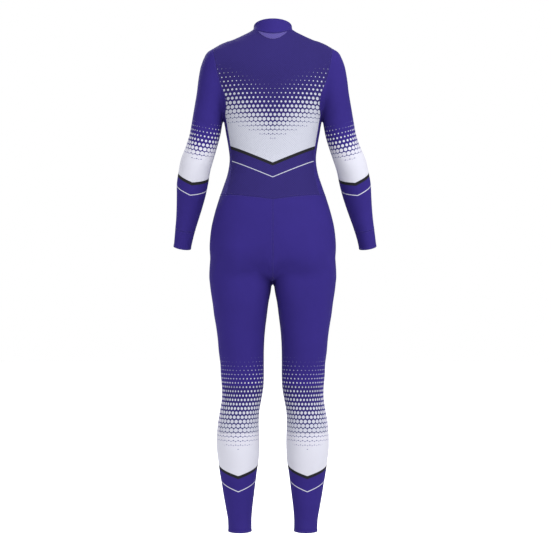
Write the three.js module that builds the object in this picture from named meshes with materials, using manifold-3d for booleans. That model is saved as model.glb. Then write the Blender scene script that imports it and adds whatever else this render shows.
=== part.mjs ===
// A woman's one-piece race suit, worn and filled out with nobody in it: a thin stretch cloth wall, open at the
// neck, the wrists and the ankles. Millimetres, +Z up. The front faces -Y, the back +Y, the wearer's left is +X.
// The origin is at the neck base, where the wearer's shoulders carry the suit.
//
// Every panel is cut from one smooth figure. The figure is a stack of level ovals, one row of a table each, for
// the trunk, the neck, an arm and a leg, joined by rounded unions. Seams are curves on it, and a panel is a grid
// stretched between its seams and laid on the figure, with the wall's thickness added inwards.
import * as THREE from "three";
import Module from "manifold-3d";

const wasm = await Module();
wasm.setup();

// Cloth
const CLOTH = 1.5; // the stretch knit's wall
const ZIP_TAPE = 1.2; // the zip tape's wall
const SEAM_GAP = 0.4; // between two sewn pieces

// Where the seams and edges run
const ARMPIT_FRONT_DEG = -106; // the side panel's two top corners, as angles round the armhole
const ARMPIT_BACK_DEG = -74;
const WAIST_SEAM_Z = -438;
const WAIST_SEAM_DIP = 14; // how much lower the waist seam runs at the centre back
const CROTCH = { y: 14, heartZ: -596 }; // the centre that the fork's curve turns round
const KNEE_TOP_Z = -958;
const KNEE_BOTTOM_Z = -1083;
const ANKLE_Z = -1358;
const CUFF_LENGTH = 51;
const SLEEVE_END_Z = -531; // on the arm's centre line
const ZIP_HALF_WIDTH = 5;
const NECK_HEART = new THREE.Vector3(0, 3, -5); // the neck seam runs round this point
const ARMHOLE_HEART = { y: 4, z: -128 }; // and the armhole seam round this one, on each side
// The half moon under the collar: its sizes below the neck seam, its grid's cells, and its wall over the back
const HALF_MOON = {
  halfWidth: 38,
  neckRadius: 52,
  top: 3,
  edge: 4.5,
  drop: 19,
  lean: 6,
  across: 16,
  down: 4,
  thick: 1,
  gap: 0.5,
};

// How the arms and legs lie
const FAN_PIVOT = { x: 118, z: -266 }; // the line, along y, that the planes of the sleeve's first rings turn on
const FAN_END_DEG = 9; // the last of those planes, above level
const SWING = { from: -285, to: -560, out: 12 }; // the right forearm hangs a little wider than the left one
const INSEAM_TURN = { degrees: 8, over: 150 }; // the inseam's turn to the back on its way down from the fork

// The zip's slider, the bar across its ears and the pull tab on the bar
const SLIDER = { width: 7.6, height: 9.5, thick: 2, drop: 9, gap: 0.3, ear: 1.3, earGap: 3.4 };
const PIVOT = { radius: 0.6, out: 2.2, up: 1.5 };
const PULL = { length: 24, width: 6, thick: 1.3, eyeRadius: 1.9, eyeHole: 1.05, eyeWidth: 2.4, stem: 5 };

// How far two parts of the figure round into each other
const ROUND = { neck: 22, armpit: 10, arm: 32, fork: 10, seat: 42 };

// The grid: how many cells each seam is cut into
const CELLS = {
  shoulder: 5, // along the shoulder seam
  neckBack: 5, // from the centre back to the side of the neck
  neckFront: 5, // from the side of the neck to the zip
  side: 3, // across the side panel
  sideRows: 8, // from the waist seam up to the armpit
  armholeRows: 8, // up each side of the armhole
  sleeveFan: 8, // rings that turn from the armhole to the upper arm
  sleeveRows: 13,
  cuffRows: 2,
  seatRows: 12, // from the waist seam to the fork
  thighRows: 10,
  kneeRows: 4,
  calfRows: 10,
  collarRows: 2,
};
const BACK_CELLS = CELLS.neckBack + CELLS.shoulder;
const FRONT_CELLS = CELLS.neckFront + CELLS.shoulder;
const TORSO_ROWS = CELLS.sideRows + CELLS.armholeRows;
const LEG_CELLS = BACK_CELLS + CELLS.side + FRONT_CELLS + 1; // the last one lies under the zip
const KNEE_INSERT_CELLS = 9; // cells of a leg's ring behind the knee, from the inseam

const { sin, cos, abs, min, max, hypot, PI } = Math;
const rad = (degrees) => (degrees * PI) / 180;
const mix = (a, b, t) => a + (b - a) * t;
const vec = (x, y, z) => new THREE.Vector3(x, y, z);
const steps = (count, at) => Array.from({ length: count + 1 }, (_, k) => at(k / count));

// A table of sections, highest first, read at any height through a smooth curve down each column.
function sections(columns, rows) {
  const last = rows.length - 1;
  const slope = (k, c) => {
    const [a, b] = [max(k - 1, 0), min(k + 1, last)];
    return (rows[b][c] - rows[a][c]) / (rows[b][0] - rows[a][0]);
  };
  return (z) => {
    let k = 0;
    while (k < last - 1 && z < rows[k + 1][0]) k += 1;
    const span = rows[k + 1][0] - rows[k][0];
    const t = min(max((z - rows[k][0]) / span, 0), 1);
    const [t2, t3] = [t * t, t * t * t];
    const found = { beyond: max(z - rows[0][0], rows[last][0] - z, 0) }; // how far past the table's ends
    columns.forEach((name, at) => {
      const c = at + 1;
      found[name] =
        (2 * t3 - 3 * t2 + 1) * rows[k][c] +
        (t3 - 2 * t2 + t) * span * slope(k, c) +
        (3 * t2 - 2 * t3) * rows[k + 1][c] +
        (t3 - t2) * span * slope(k + 1, c);
    });
    return found;
  };
}

// The trunk with the shoulders and the seat. half is half the width, mid the y of the widest line, front and
// back the depths from there, full the oval's fullness (2 is an ellipse).
const trunk = sections(
  ["half", "mid", "front", "back", "full"],
  [
    [38, 18, 2, 16, 18, 1.8],
    [23, 41, 3, 22.5, 30.5, 1.8],
    [8, 70, 4, 29.5, 40.5, 1.8],
    [-9, 106, 5, 38, 51, 1.8],
    [-25, 147, 5, 48.5, 61.5, 1.9],
    [-42, 167, 4, 57.5, 71.5, 2.1],
    [-58, 171, 3, 66, 79, 2.3],
    [-90, 165, 2, 81, 89, 2.5],
    [-125, 157, 0, 96, 97, 2.5],
    [-160, 149, -2, 106, 101, 2.5],
    [-195, 141, -4, 111, 100, 2.4],
    [-225, 135, -6, 108, 97, 2.35],
    [-260, 130, -8, 100, 92, 2.3],
    [-300, 123, -10, 93, 88, 2.25],
    [-337, 119, -10, 90, 86, 2.2],
    [-375, 124, -8, 93, 89, 2.2],
    [-410, 135, -4, 99, 95, 2.25],
    [-445, 147, 0, 105, 103, 2.3],
    [-485, 159, 6, 110, 112, 2.3],
    [-530, 169, 10, 112, 119, 2.3],
    [-575, 172, 12, 109, 119, 2.3],
    [-602, 166, 13, 101, 112, 2.3],
    [-624, 150, 14, 88, 102, 2.1],
    [-642, 124, 14, 73, 86, 2.0],
    [-656, 92, 14, 54, 64, 1.9],
    [-667, 54, 14, 30, 36, 1.8],
    [-674, 6, 14, 6, 6, 1.8],
  ],
);

// The neck, which leans forward as it rises.
const neck = sections(
  ["half", "mid", "front", "back"],
  [
    [70, 49, -22, 50, 50],
    [40, 52, -12, 53, 52],
    [15, 52, -4, 55, 53],
    [-15, 51, 3, 56, 52],
    [-60, 49, 8, 52, 48],
    [-110, 40, 8, 44, 40],
  ],
);

// An arm: out is how far its centre lies from the middle plane.
const arm = sections(
  ["out", "mid", "half", "deep"],
  [
    [-22, 117, 4, 8, 10],
    [-31, 126, 4, 26, 28],
    [-44.5, 137.5, 4, 40, 44],
    [-61, 146.3, 3, 42.5, 49.5],
    [-75, 152, 2, 43, 52],
    [-90, 156, 1, 43.5, 54],
    [-122, 161.5, 0, 43.5, 55],
    [-155, 165.5, -1, 43.5, 54],
    [-188, 171.5, -1, 43, 52],
    [-221, 177.5, 0, 42.5, 50],
    [-238, 180.5, 1, 42.3, 49],
    [-271, 186.5, 3, 42.4, 48],
    [-304, 196, 5, 43.4, 47],
    [-337, 207, 7, 45, 46],
    [-370, 215, 6, 43.5, 45],
    [-403, 220.5, 1, 43.2, 44],
    [-436, 224.5, -5, 40, 42],
    [-469, 229.7, -12, 35.7, 38.5],
    [-502, 236, -19, 31.3, 34.5],
    [-535, 243, -26, 27.6, 31],
    [-568, 249, -33, 25, 29],
    [-600, 255, -40, 24, 28],
  ],
);

// A leg. full is the fullness of its inner side.
const leg = sections(
  ["out", "mid", "half", "front", "back", "full"],
  [
    [-480, 84, 10, 16, 24, 34, 2],
    [-520, 85, 12, 56, 70, 84, 2.1],
    [-555, 85.5, 13, 77, 89, 103, 2.3],
    [-585, 86, 14, 84, 96, 110, 2.4],
    [-612, 86.5, 15, 85, 97, 108, 2.5],
    [-640, 87.5, 15, 86, 97, 102, 2.5],
    [-662, 88, 14.5, 86, 95, 96, 2.45],
    [-680, 88, 14, 84.3, 94, 92, 2.4],
    [-700, 88, 13, 82, 92, 88, 2.3],
    [-733, 88.7, 11, 76.3, 88, 86, 2.2],
    [-766, 88.7, 9, 72.2, 85, 82, 2.1],
    [-799, 88, 7, 67.4, 82, 78, 2],
    [-832, 87.3, 5, 63.9, 79, 74, 2],
    [-865, 86.6, 3, 61.9, 75, 69, 2],
    [-898, 84.6, 0, 59.8, 71, 64, 2],
    [-931, 83.9, -3, 59.1, 67, 59, 2],
    [-964, 83.2, -6, 57, 63, 56, 2],
    [-997, 86, -5, 54.5, 59, 57, 2],
    [-1030, 91.5, 0, 54.3, 55, 60, 2],
    [-1063, 95, 5, 56.4, 54, 63, 2],
    [-1096, 95.6, 9, 58.4, 54, 65, 2],
    [-1129, 95.6, 11, 58.4, 54, 63, 2],
    [-1162, 94.5, 12, 55.6, 52, 58, 2],
    [-1195, 94.7, 12, 50.9, 49, 52, 2],
    [-1228, 94, 11, 46, 46, 47, 2],
    [-1261, 93.5, 10, 41.3, 43, 43, 2],
    [-1294, 92.5, 9, 36.4, 40, 40, 2],
    [-1327, 91, 8, 32.4, 38, 38, 2],
    [-1375, 90, 7, 32.2, 38, 39, 2],
  ],
);

// Roughly how far a point of a level plane lies outside an oval, and less than 0 inside it.
function outside(dx, dy, half, deep, full) {
  const u = max(abs(dx) / half, 1e-6);
  const v = max(abs(dy) / deep, 1e-6);
  const reach = (u ** full + v ** full) ** (1 / full);
  const steep = reach ** (1 - full) * hypot(u ** (full - 1) / half, v ** (full - 1) / deep);
  return (reach - 1) / steep;
}

// The smaller of two distances, rounded where they are within a radius of each other.
function rounded(a, b, radius) {
  const near = max(radius - abs(a - b), 0) / radius;
  return min(a, b) - (near ** 3 * radius) / 6;
}

// How far a point lies outside one part of the figure, whose section at that height is a row of its table.
function outsidePart(section, x, p, full = section.full ?? 2) {
  const dy = p.y - section.mid;
  const deep = section.deep ?? (dy > 0 ? section.back : section.front);
  return outside(x, dy, section.half, deep, full) + section.beyond;
}

// The whole figure: less than 0 inside it, 0 on the cloth's outer face.
function figure(p) {
  let d = outsidePart(trunk(p.z), p.x, p);
  if (p.z > -130) d = rounded(d, outsidePart(neck(p.z), p.x, p), ROUND.neck);
  if (p.z < 10) {
    const section = arm(p.z);
    const share = min(max((p.z + 235) / 75, 0), 1); // the rounding dies out at the armpit
    d = rounded(d, outsidePart(section, abs(p.x) - section.out, p), mix(ROUND.armpit, ROUND.arm, share));
  }
  if (p.z < -440) {
    const section = leg(p.z);
    // Each leg's inner side is the fuller one.
    const [near, far] = [p.x, -p.x].map((x) => {
      const across = x - section.out;
      return outsidePart(section, across, p, across < 0 ? section.full : 2);
    });
    // The rounding under the seat dies out at the fork and towards the sides.
    const share = min(max((p.z + 690) / 90, 0), 1) * max(1 - abs(p.x) / 200, 0);
    d = rounded(d, rounded(near, far, ROUND.fork), mix(ROUND.fork, ROUND.seat, share));
  }
  return d;
}

// The figure's slope at a point, which at its surface is the outward direction.
function slopeAt(p) {
  const h = 0.05;
  const along = (x, y, z) =>
    (figure(vec(p.x + x, p.y + y, p.z + z)) - figure(vec(p.x - x, p.y - y, p.z - z))) / (2 * h);
  return vec(along(h, 0, 0), along(0, h, 0), along(0, 0, h));
}

// Lays a point on the figure by steps down its slope.
function laid(point) {
  const p = point.clone();
  for (let step = 0; step < 30; step += 1) {
    const slope = slopeAt(p);
    const off = figure(p) / max(slope.lengthSq(), 0.2);
    p.addScaledVector(slope, -min(max(off, -12), 12));
    if (abs(off) < 1e-4) break;
  }
  return p;
}

// The first place where a path that starts inside the figure leaves it. at(r) is the path's point at distance r.
function exitOf(at, reach = 260) {
  let inner = 2;
  let outer = inner;
  while (outer < reach && figure(at(outer)) < 0) {
    inner = outer;
    outer += 4;
  }
  for (let step = 0; step < 40; step += 1) {
    const half = (inner + outer) / 2;
    if (figure(at(half)) < 0) inner = half;
    else outer = half;
  }
  return at(outer);
}

// Seams of the wearer's left half, x > 0. The right half mirrors them.

// The neck seam and the collar's top edge at an angle from the centre back.
const neckRise = (angle) => -0.01 + 0.4 * cos(angle) - 0.27 * cos(2 * angle); // per mm out from the heart
const onNeckSeam = (angle) =>
  exitOf((r) => vec(r * sin(angle), NECK_HEART.y + r * cos(angle), NECK_HEART.z + r * neckRise(angle)));
const collarTopZ = (angle) => 25.8 + 18.5 * cos(angle) - 1.3 * cos(2 * angle);
const onCollarTop = (angle) => {
  const z = collarTopZ(angle);
  return exitOf((r) => vec(r * sin(angle), neck(z).mid + r * cos(angle), z));
};
// Angles from the centre back to the side of the neck, and on to the zip's edge at a distance from the heart.
const neckAngles = (reach) => [
  ...steps(CELLS.neckBack, (t) => rad(90) * t),
  ...steps(CELLS.neckFront, (t) => mix(rad(90), PI - Math.asin(ZIP_HALF_WIDTH / reach), t)).slice(1),
];
const neckSeam = neckAngles(onNeckSeam(PI).distanceTo(NECK_HEART) * 0.82).map(onNeckSeam);
const collarTop = neckAngles(neck(collarTopZ(PI)).front).map(onCollarTop);

// The armhole lies on an upright surface, given by how far it is from the middle plane at the back and the front.
const armhole = sections(
  ["back", "front"],
  [
    [-10, 168, 166],
    [-43, 162, 161],
    [-70, 158, 153],
    [-100, 152, 143],
    [-128, 144, 134],
    [-155, 135, 128],
    [-178, 129, 126],
    [-205, 128, 128],
    [-230, 131, 132],
    [-260, 134, 135],
  ],
);
const armholeOut = (z, angle) => mix(armhole(z).front, armhole(z).back, (1 + cos(angle)) / 2);
function onArmhole(degrees) {
  const angle = rad(degrees);
  return exitOf((r) => {
    const [y, z] = [ARMHOLE_HEART.y + r * cos(angle), ARMHOLE_HEART.z + r * sin(angle)];
    return vec(armholeOut(z, angle), y, z);
  });
}
const armholeBack = steps(CELLS.armholeRows, (t) => onArmhole(mix(ARMPIT_BACK_DEG, 90, t)));
const armholeFront = steps(CELLS.armholeRows, (t) => onArmhole(mix(360 + ARMPIT_FRONT_DEG, 90, t)));
const armholeUnder = steps(CELLS.side, (t) => onArmhole(mix(ARMPIT_BACK_DEG, ARMPIT_FRONT_DEG, t)));

// The shoulder seam, from the side of the neck to the top of the armhole.
const neckSide = neckSeam[CELLS.neckBack];
const shoulderTip = armholeBack[CELLS.armholeRows];
const shoulderSeam = steps(CELLS.shoulder, (t) => {
  if (t === 0) return neckSide.clone();
  if (t === 1) return shoulderTip.clone();
  const [x, y] = [mix(neckSide.x, shoulderTip.x, t), mix(neckSide.y, shoulderTip.y, t)];
  return exitOf((r) => vec(x, y, -70 + r));
});

// The two seams of the side panel: y at each height, from the waist seam up to the armhole.
const sideSeams = sections(
  ["back", "front"],
  [
    [-200, 28, -30],
    [-250, 26, -32],
    [-300, 22, -34],
    [-337, 22, -37],
    [-390, 38, -50],
    [-460, 64, -66],
  ],
);
function onSide(y, z) {
  return exitOf((r) => vec(r, y, z));
}
function sideSeam(which, corner) {
  return steps(CELLS.sideRows, (t) => {
    if (t === 1) return corner.clone();
    const z = mix(WAIST_SEAM_Z, corner.z, t);
    const settle = t ** 4; // the last stretch turns in to the corner
    return onSide(mix(sideSeams(z)[which], corner.y, settle), z);
  });
}
const sideSeamBack = sideSeam("back", armholeBack[0]);
const sideSeamFront = sideSeam("front", armholeFront[0]);

// The waist seam from the centre back to the centre front, as points at even angles between its fixed corners.
const waistZ = (x) => WAIST_SEAM_Z - WAIST_SEAM_DIP * max(1 - abs(x) / 118, 0) ** 1.2;
function onWaist(angle, dip) {
  return exitOf((r) => vec(r * sin(angle), r * cos(angle), dip ? waistZ(r * sin(angle)) : WAIST_SEAM_Z));
}
const bearing = (p) => Math.atan2(p.x, p.y);
const waistBack = steps(BACK_CELLS, (t) => onWaist(bearing(sideSeamBack[0]) * t, true));
const zipFoot = exitOf((r) => vec(ZIP_HALF_WIDTH, -r, WAIST_SEAM_Z));
const [sideBackTurn, sideFrontTurn] = [bearing(sideSeamBack[0]), bearing(sideSeamFront[0])];
const waistSide = steps(CELLS.side, (t) => onWaist(mix(sideBackTurn, sideFrontTurn, t), false));
const waistFront = steps(FRONT_CELLS, (t) => onWaist(mix(sideFrontTurn, bearing(zipFoot), t), false));

// The front edge beside the zip, from the waist seam up to the neck seam.
const zipTop = neckSeam[neckSeam.length - 1];
const zipEdge = steps(TORSO_ROWS, (t) => {
  const z = mix(WAIST_SEAM_Z, zipTop.z, t);
  return t === 1 ? zipTop.clone() : exitOf((r) => vec(ZIP_HALF_WIDTH, -r, z));
});

// Lets a grid of cloth settle: each inner point moves to the middle of its neighbours and back on the figure, a
// few times over.
function settled(grid, passes = 12) {
  let now = grid;
  for (let pass = 0; pass < passes; pass += 1) {
    const before = now;
    now = before.map((row, j) =>
      row.map((p, i) => {
        if (j === 0 || j === before.length - 1 || i === 0 || i === row.length - 1) return p;
        const around = [row[i - 1], row[i + 1], before[j - 1][i], before[j + 1][i]];
        return laid(around.reduce((sum, q) => sum.add(q), vec(0, 0, 0)).multiplyScalar(0.25));
      }),
    );
  }
  return now;
}

// A grid of points stretched between four seams that share their corners, and laid on the figure. bottom and
// top run across, left and right run up.
function stretched(bottom, top, left, right) {
  const [across, up] = [bottom.length - 1, left.length - 1];
  const grid = left.map((_, j) =>
    bottom.map((__, i) => {
      const [s, t] = [i / across, j / up];
      if (j === 0) return bottom[i];
      if (j === up) return top[i];
      if (i === 0) return left[j];
      if (i === across) return right[j];
      const p = vec(0, 0, 0);
      p.addScaledVector(bottom[i], 1 - t).addScaledVector(top[i], t);
      p.addScaledVector(left[j], 1 - s).addScaledVector(right[j], s);
      p.addScaledVector(bottom[0], -(1 - s) * (1 - t)).addScaledVector(bottom[across], -s * (1 - t));
      p.addScaledVector(top[0], -(1 - s) * t).addScaledVector(top[across], -s * t);
      return laid(p);
    }),
  );
  return settled(grid);
}

// Draws a grid's cut edges in from the seams, so that the pieces on both sides keep their gap.
function trimmed(grid, isCut = () => true) {
  const [rows, across] = [grid.length - 1, grid[0].length - 1];
  const moved = grid.map((row) => row.map((p) => p.clone()));
  const draw = (j, i, dj, di) => {
    const from = grid[j][i];
    const along = grid[j + dj][i + di].clone().sub(from);
    moved[j][i].addScaledVector(along, SEAM_GAP / 2 / along.length());
  };
  for (let i = 0; i <= across; i += 1) {
    if (isCut("bottom")) draw(0, i, 1, 0);
    if (isCut("top")) draw(rows, i, -1, 0);
  }
  for (let j = 0; j <= rows; j += 1) {
    if (isCut("left")) draw(j, 0, 0, 1);
    if (isCut("right")) draw(j, across, 0, -1);
  }
  return moved;
}

// A closed wall from a grid of outer points: the inner face lies a thickness inside, and every edge is closed.
// lift moves the whole wall out, shift then moves its points, and has(j, i) says whether the cell is cloth.
function wall(grid, thickness, { lift = 0, shift = (p) => p, has = () => true } = {}) {
  const [rows, across] = [grid.length - 1, grid[0].length - 1];
  const position = [];
  const at = grid.map((row) => row.map(() => -1));
  const vertex = (j, i) => {
    if (at[j][i] < 0) {
      at[j][i] = position.length / 3;
      const p = grid[j][i];
      const out = slopeAt(p).normalize();
      position.push(...shift(p.clone().addScaledVector(out, lift)).toArray());
      position.push(...shift(p.clone().addScaledVector(out, lift - thickness)).toArray());
    }
    return at[j][i];
  };
  const there = (j, i) => j >= 0 && j < rows && i >= 0 && i < across && has(j, i);
  const index = [];
  const quad = (a, b, c, d) => index.push(a, b, c, a, c, d);
  for (let j = 0; j < rows; j += 1) {
    for (let i = 0; i < across; i += 1) {
      if (!there(j, i)) continue;
      const [a, b, c, d] = [vertex(j, i), vertex(j, i + 1), vertex(j + 1, i + 1), vertex(j + 1, i)];
      // The cell folds on the diagonal that lies nearer the figure.
      const off = (p, q) => abs(figure(p.clone().lerp(q, 0.5)));
      if (off(grid[j][i], grid[j + 1][i + 1]) <= off(grid[j][i + 1], grid[j + 1][i])) {
        quad(a, b, c, d);
        quad(c + 1, b + 1, a + 1, d + 1);
      } else {
        quad(b, c, d, a);
        quad(d + 1, c + 1, b + 1, a + 1);
      }
      if (!there(j - 1, i)) quad(b, a, a + 1, b + 1);
      if (!there(j + 1, i)) quad(d, c, c + 1, d + 1);
      if (!there(j, i - 1)) quad(a, d, d + 1, a + 1);
      if (!there(j, i + 1)) quad(c, b, b + 1, c + 1);
    }
  }
  // The faces point out only if the grid turns the same way as the figure's outward direction.
  const [p, q, r] = [grid[0][0], grid[0][1], grid[1][0]];
  const turn = q.clone().sub(p).cross(r.clone().sub(p)).dot(slopeAt(p));
  if (turn < 0) index.reverse();
  const geometry = new THREE.BufferGeometry();
  geometry.setAttribute("position", new THREE.Float32BufferAttribute(position, 3));
  geometry.setIndex(index);
  geometry.computeVertexNormals();
  return geometry;
}

const mirrored = (points) => points.map((p) => vec(-p.x, p.y, p.z));
const mirroredGrid = (grid) => grid.map(mirrored);

// Materials
const finish = (color, roughness, metalness = 0) =>
  new THREE.MeshStandardMaterial({ color, roughness, metalness });
const PURPLE_KNIT = finish(0x3c3183, 0.62);
const PURPLE_MESH = finish(0x3e357a, 0.75);
const LIGHT_MESH = finish(0x5e559c, 0.75);
const BLACK_TAPE = finish(0x17171b, 0.7);
const DARK_METAL = finish(0x2b2b30, 0.35, 0.9);

const suit = new THREE.Group();
suit.name = "race_suit";
function add(name, geometry, material) {
  const mesh = new THREE.Mesh(geometry, material);
  mesh.name = name;
  suit.add(mesh);
  return mesh;
}
// A piece of the left half and its mirror image. Neither crosses the middle plane.
function addPair(name, grid, material, options = {}, thickness = CLOTH) {
  const kept = (side) => (p) => vec(side * max(side * p.x, SEAM_GAP / 2), p.y, p.z);
  add(`${name}_l`, wall(grid, thickness, { shift: kept(1), ...options }), material);
  add(`${name}_r`, wall(mirroredGrid(grid), thickness, { shift: kept(-1), ...options }), material);
}

// The back of the body, one mesh-knit panel from the waist seam to the neck and the shoulders.
function backPanel() {
  const top = [...neckSeam.slice(0, CELLS.neckBack + 1), ...shoulderSeam.slice(1)];
  const side = [...sideSeamBack, ...armholeBack.slice(1)];
  const whole = (half) => [...mirrored(half).reverse(), ...half.slice(1)];
  return stretched(whole(waistBack), whole(top), mirrored(side), side);
}
const backCloth = add("back_panel", wall(trimmed(backPanel()), CLOTH), PURPLE_MESH);

// The two fronts, one each side of the zip.
function frontPanel() {
  const top = [...shoulderSeam.slice(1).reverse(), ...neckSeam.slice(CELLS.neckBack)];
  const side = [...sideSeamFront, ...armholeFront.slice(1)];
  return stretched(waistFront, top, side, zipEdge);
}
addPair("front", trimmed(frontPanel()), PURPLE_KNIT);

// The side panels, from the armpit to the waist seam.
const sideGrid = stretched(waistSide, armholeUnder, sideSeamBack, sideSeamFront);
addPair("side_panel", trimmed(sideGrid), PURPLE_KNIT);

// The standing collar, from one side of the zip round the back to the other.
function collarGrid() {
  const half = steps(CELLS.collarRows, (t) =>
    neckSeam.map((low, k) => {
      const p = low.clone().lerp(collarTop[k], t);
      return t === 0 || t === 1 ? p : laid(p);
    }),
  );
  return half.map((row) => [...mirrored(row).reverse(), ...row.slice(1)]);
}
const collar = collarGrid();
add("collar", wall(trimmed(collar, (edge) => edge !== "top"), CLOTH), PURPLE_KNIT);

// The half moon of lighter mesh under the collar at the back, laid on the back panel.
function halfMoon() {
  const caster = new THREE.Raycaster();
  return steps(HALF_MOON.down, (t) =>
    steps(HALF_MOON.across, (s) => {
      const share = mix(-1, 1, s);
      const start = onNeckSeam(share * Math.asin(HALF_MOON.halfWidth / HALF_MOON.neckRadius));
      const low = mix(HALF_MOON.edge, HALF_MOON.drop, 1 - share * share);
      const p = laid(vec(start.x, start.y + HALF_MOON.lean * t, start.z - mix(HALF_MOON.top, low, t)));
      const out = slopeAt(p).normalize();
      caster.set(p.clone().addScaledVector(out, 15), out.negate());
      return caster.intersectObject(backCloth)[0].point;
    }),
  ).reverse();
}
const moonLift = HALF_MOON.gap + HALF_MOON.thick;
add("neck_half_moon", wall(halfMoon(), HALF_MOON.thick, { lift: moonLift }), LIGHT_MESH);

// The sleeve: rings that turn like a fan from the armhole to level, then follow the arm to the wrist.
const ringSeams = [...armholeUnder.slice(0, -1), ...armholeFront.slice(0, -1), ...[...armholeBack].reverse()];
const ringTurn = (k) => {
  const from = ringSeams[k];
  return Math.atan2(from.y - ARMHOLE_HEART.y, from.z - ARMHOLE_HEART.z);
};

// A ring's frame: its centre, the direction that points away from the body, and the one that points back.
function fanFrame(t) {
  const start = Math.atan2(ARMHOLE_HEART.z - FAN_PIVOT.z, armholeOut(ARMHOLE_HEART.z, rad(90)) - FAN_PIVOT.x);
  const angle = mix(start, rad(FAN_END_DEG), t ** 1.3);
  const away = vec(cos(angle), 0, sin(angle));
  let [low, high] = [FAN_PIVOT.z, ARMHOLE_HEART.z + 40];
  for (let step = 0; step < 40; step += 1) {
    const z = (low + high) / 2;
    const tooHigh = Math.atan2(z - FAN_PIVOT.z, arm(z).out - FAN_PIVOT.x) > angle;
    [low, high] = tooHigh ? [low, z] : [z, high];
  }
  const centre = vec(arm(low).out, mix(ARMHOLE_HEART.y, arm(low).mid, t), low);
  return { centre, away, back: vec(0, 1, 0) };
}
function armFrame(z) {
  const [a, above, below] = [arm(z), arm(z + 12), arm(z - 12)];
  const down = vec(below.out - above.out, below.mid - above.mid, -24).normalize();
  const back = vec(0, 1, 0).addScaledVector(down, -down.y).normalize();
  const away = back.clone().cross(down).normalize();
  if (away.x < 0) away.negate();
  return { centre: vec(a.out, a.mid, z), away, back };
}
function blended(a, b, t) {
  const away = a.away.clone().lerp(b.away, t).normalize();
  const back = a.back.clone().lerp(b.back, t).normalize();
  return { centre: a.centre.clone().lerp(b.centre, t), away, back };
}
// A ring's points start under the arm and turn by the front, over the outside and by the back.
function armRing(frame) {
  return ringSeams.map((_, k) => {
    const turn = ringTurn(k);
    const direction = frame.away.clone().multiplyScalar(cos(turn)).addScaledVector(frame.back, sin(turn));
    return exitOf((r) => frame.centre.clone().addScaledVector(direction, r), 130);
  });
}
const FAN_FOOT_Z = fanFrame(1).centre.z;
const fanRings = steps(CELLS.sleeveFan, (t) => armRing(blended(fanFrame(t), armFrame(FAN_FOOT_Z), t ** 3)));
const armRings = steps(CELLS.sleeveRows, (t) => armRing(armFrame(mix(FAN_FOOT_Z, SLEEVE_END_Z, t))));
const sleeveGrid = settled([ringSeams, ...fanRings.slice(1), ...armRings.slice(1)], 3);

// The right forearm hangs a little wider than the left one.
function swung(p) {
  const t = min(max((SWING.from - p.z) / (SWING.from - SWING.to), 0), 1);
  return vec(p.x - SWING.out * t, p.y, p.z);
}
function addArm(name, grid) {
  add(`${name}_l`, wall(grid, CLOTH), PURPLE_KNIT);
  add(`${name}_r`, wall(mirroredGrid(grid), CLOTH, { shift: swung }), PURPLE_KNIT);
}
addArm("sleeve", trimmed(sleeveGrid));

// The cuff, a short band to the wrist's open end.
const wrist = armFrame(SLEEVE_END_Z);
const CUFF_END_Z = SLEEVE_END_Z - CUFF_LENGTH * abs(wrist.back.clone().cross(wrist.away).z);
const cuffGrid = steps(CELLS.cuffRows, (t) => armRing(armFrame(mix(SLEEVE_END_Z, CUFF_END_Z, t))));
addArm("cuff", trimmed(cuffGrid, (edge) => edge !== "top"));

// The trousers' half: seat, fork and thigh in one piece, joined to itself down the inseam.
const forkPoint = (degrees) => {
  const angle = rad(degrees);
  return exitOf((r) => vec(0, CROTCH.y + r * cos(angle), CROTCH.heartZ + r * sin(angle)));
};
const degreesOf = (p) => (Math.atan2(p.z - CROTCH.heartZ, p.y - CROTCH.y) * 180) / PI;
const waistMiddleFront = exitOf((r) => vec(0, -r, WAIST_SEAM_Z));
const seamBack = steps(CELLS.seatRows, (t) => forkPoint(mix(-90, degreesOf(waistBack[0]), t)));
const seamFront = steps(CELLS.seatRows, (t) => forkPoint(mix(270, degreesOf(waistMiddleFront), t)));
const FORK_Z = seamBack[0].z;

// A leg's ring at a height: it starts at the inseam, which turns a little to the back on its way down from the
// fork, and runs by the back, the outside and the front.
function legRing(z) {
  const l = leg(z);
  const start = rad(INSEAM_TURN.degrees) * min(max((FORK_Z - z) / INSEAM_TURN.over, 0), 1);
  return steps(LEG_CELLS, (t) => {
    const angle = start + 2 * PI * t;
    return exitOf((r) => vec(l.out - r * cos(angle), l.mid + r * sin(angle), z), 150);
  });
}
const forkRing = legRing(FORK_Z - 0.5);
[forkRing[0], forkRing[LEG_CELLS]] = [seamBack[0], seamBack[0]];
const waistRing = [...waistBack, ...waistSide.slice(1), ...waistFront.slice(1), waistMiddleFront];
const seatGrid = stretched(forkRing, waistRing, seamBack, seamFront);
const thighGrid = steps(CELLS.thighRows, (t) => legRing(mix(KNEE_TOP_Z, FORK_Z, t)));
const trouserGrid = [...thighGrid.slice(0, -1), ...seatGrid];
addPair("trouser", trimmed(trouserGrid), PURPLE_KNIT);

// Behind the knee, a mesh insert from the inseam to just behind the outer side; the lower leg has the rest of
// the ring at the knee and the whole ring below it.
const kneeGrid = steps(CELLS.kneeRows, (t) => legRing(mix(KNEE_BOTTOM_Z, KNEE_TOP_Z, t)));
const insertGrid = kneeGrid.map((row) => row.slice(0, KNEE_INSERT_CELLS + 1));
addPair("knee_insert", trimmed(insertGrid), PURPLE_MESH);

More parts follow.
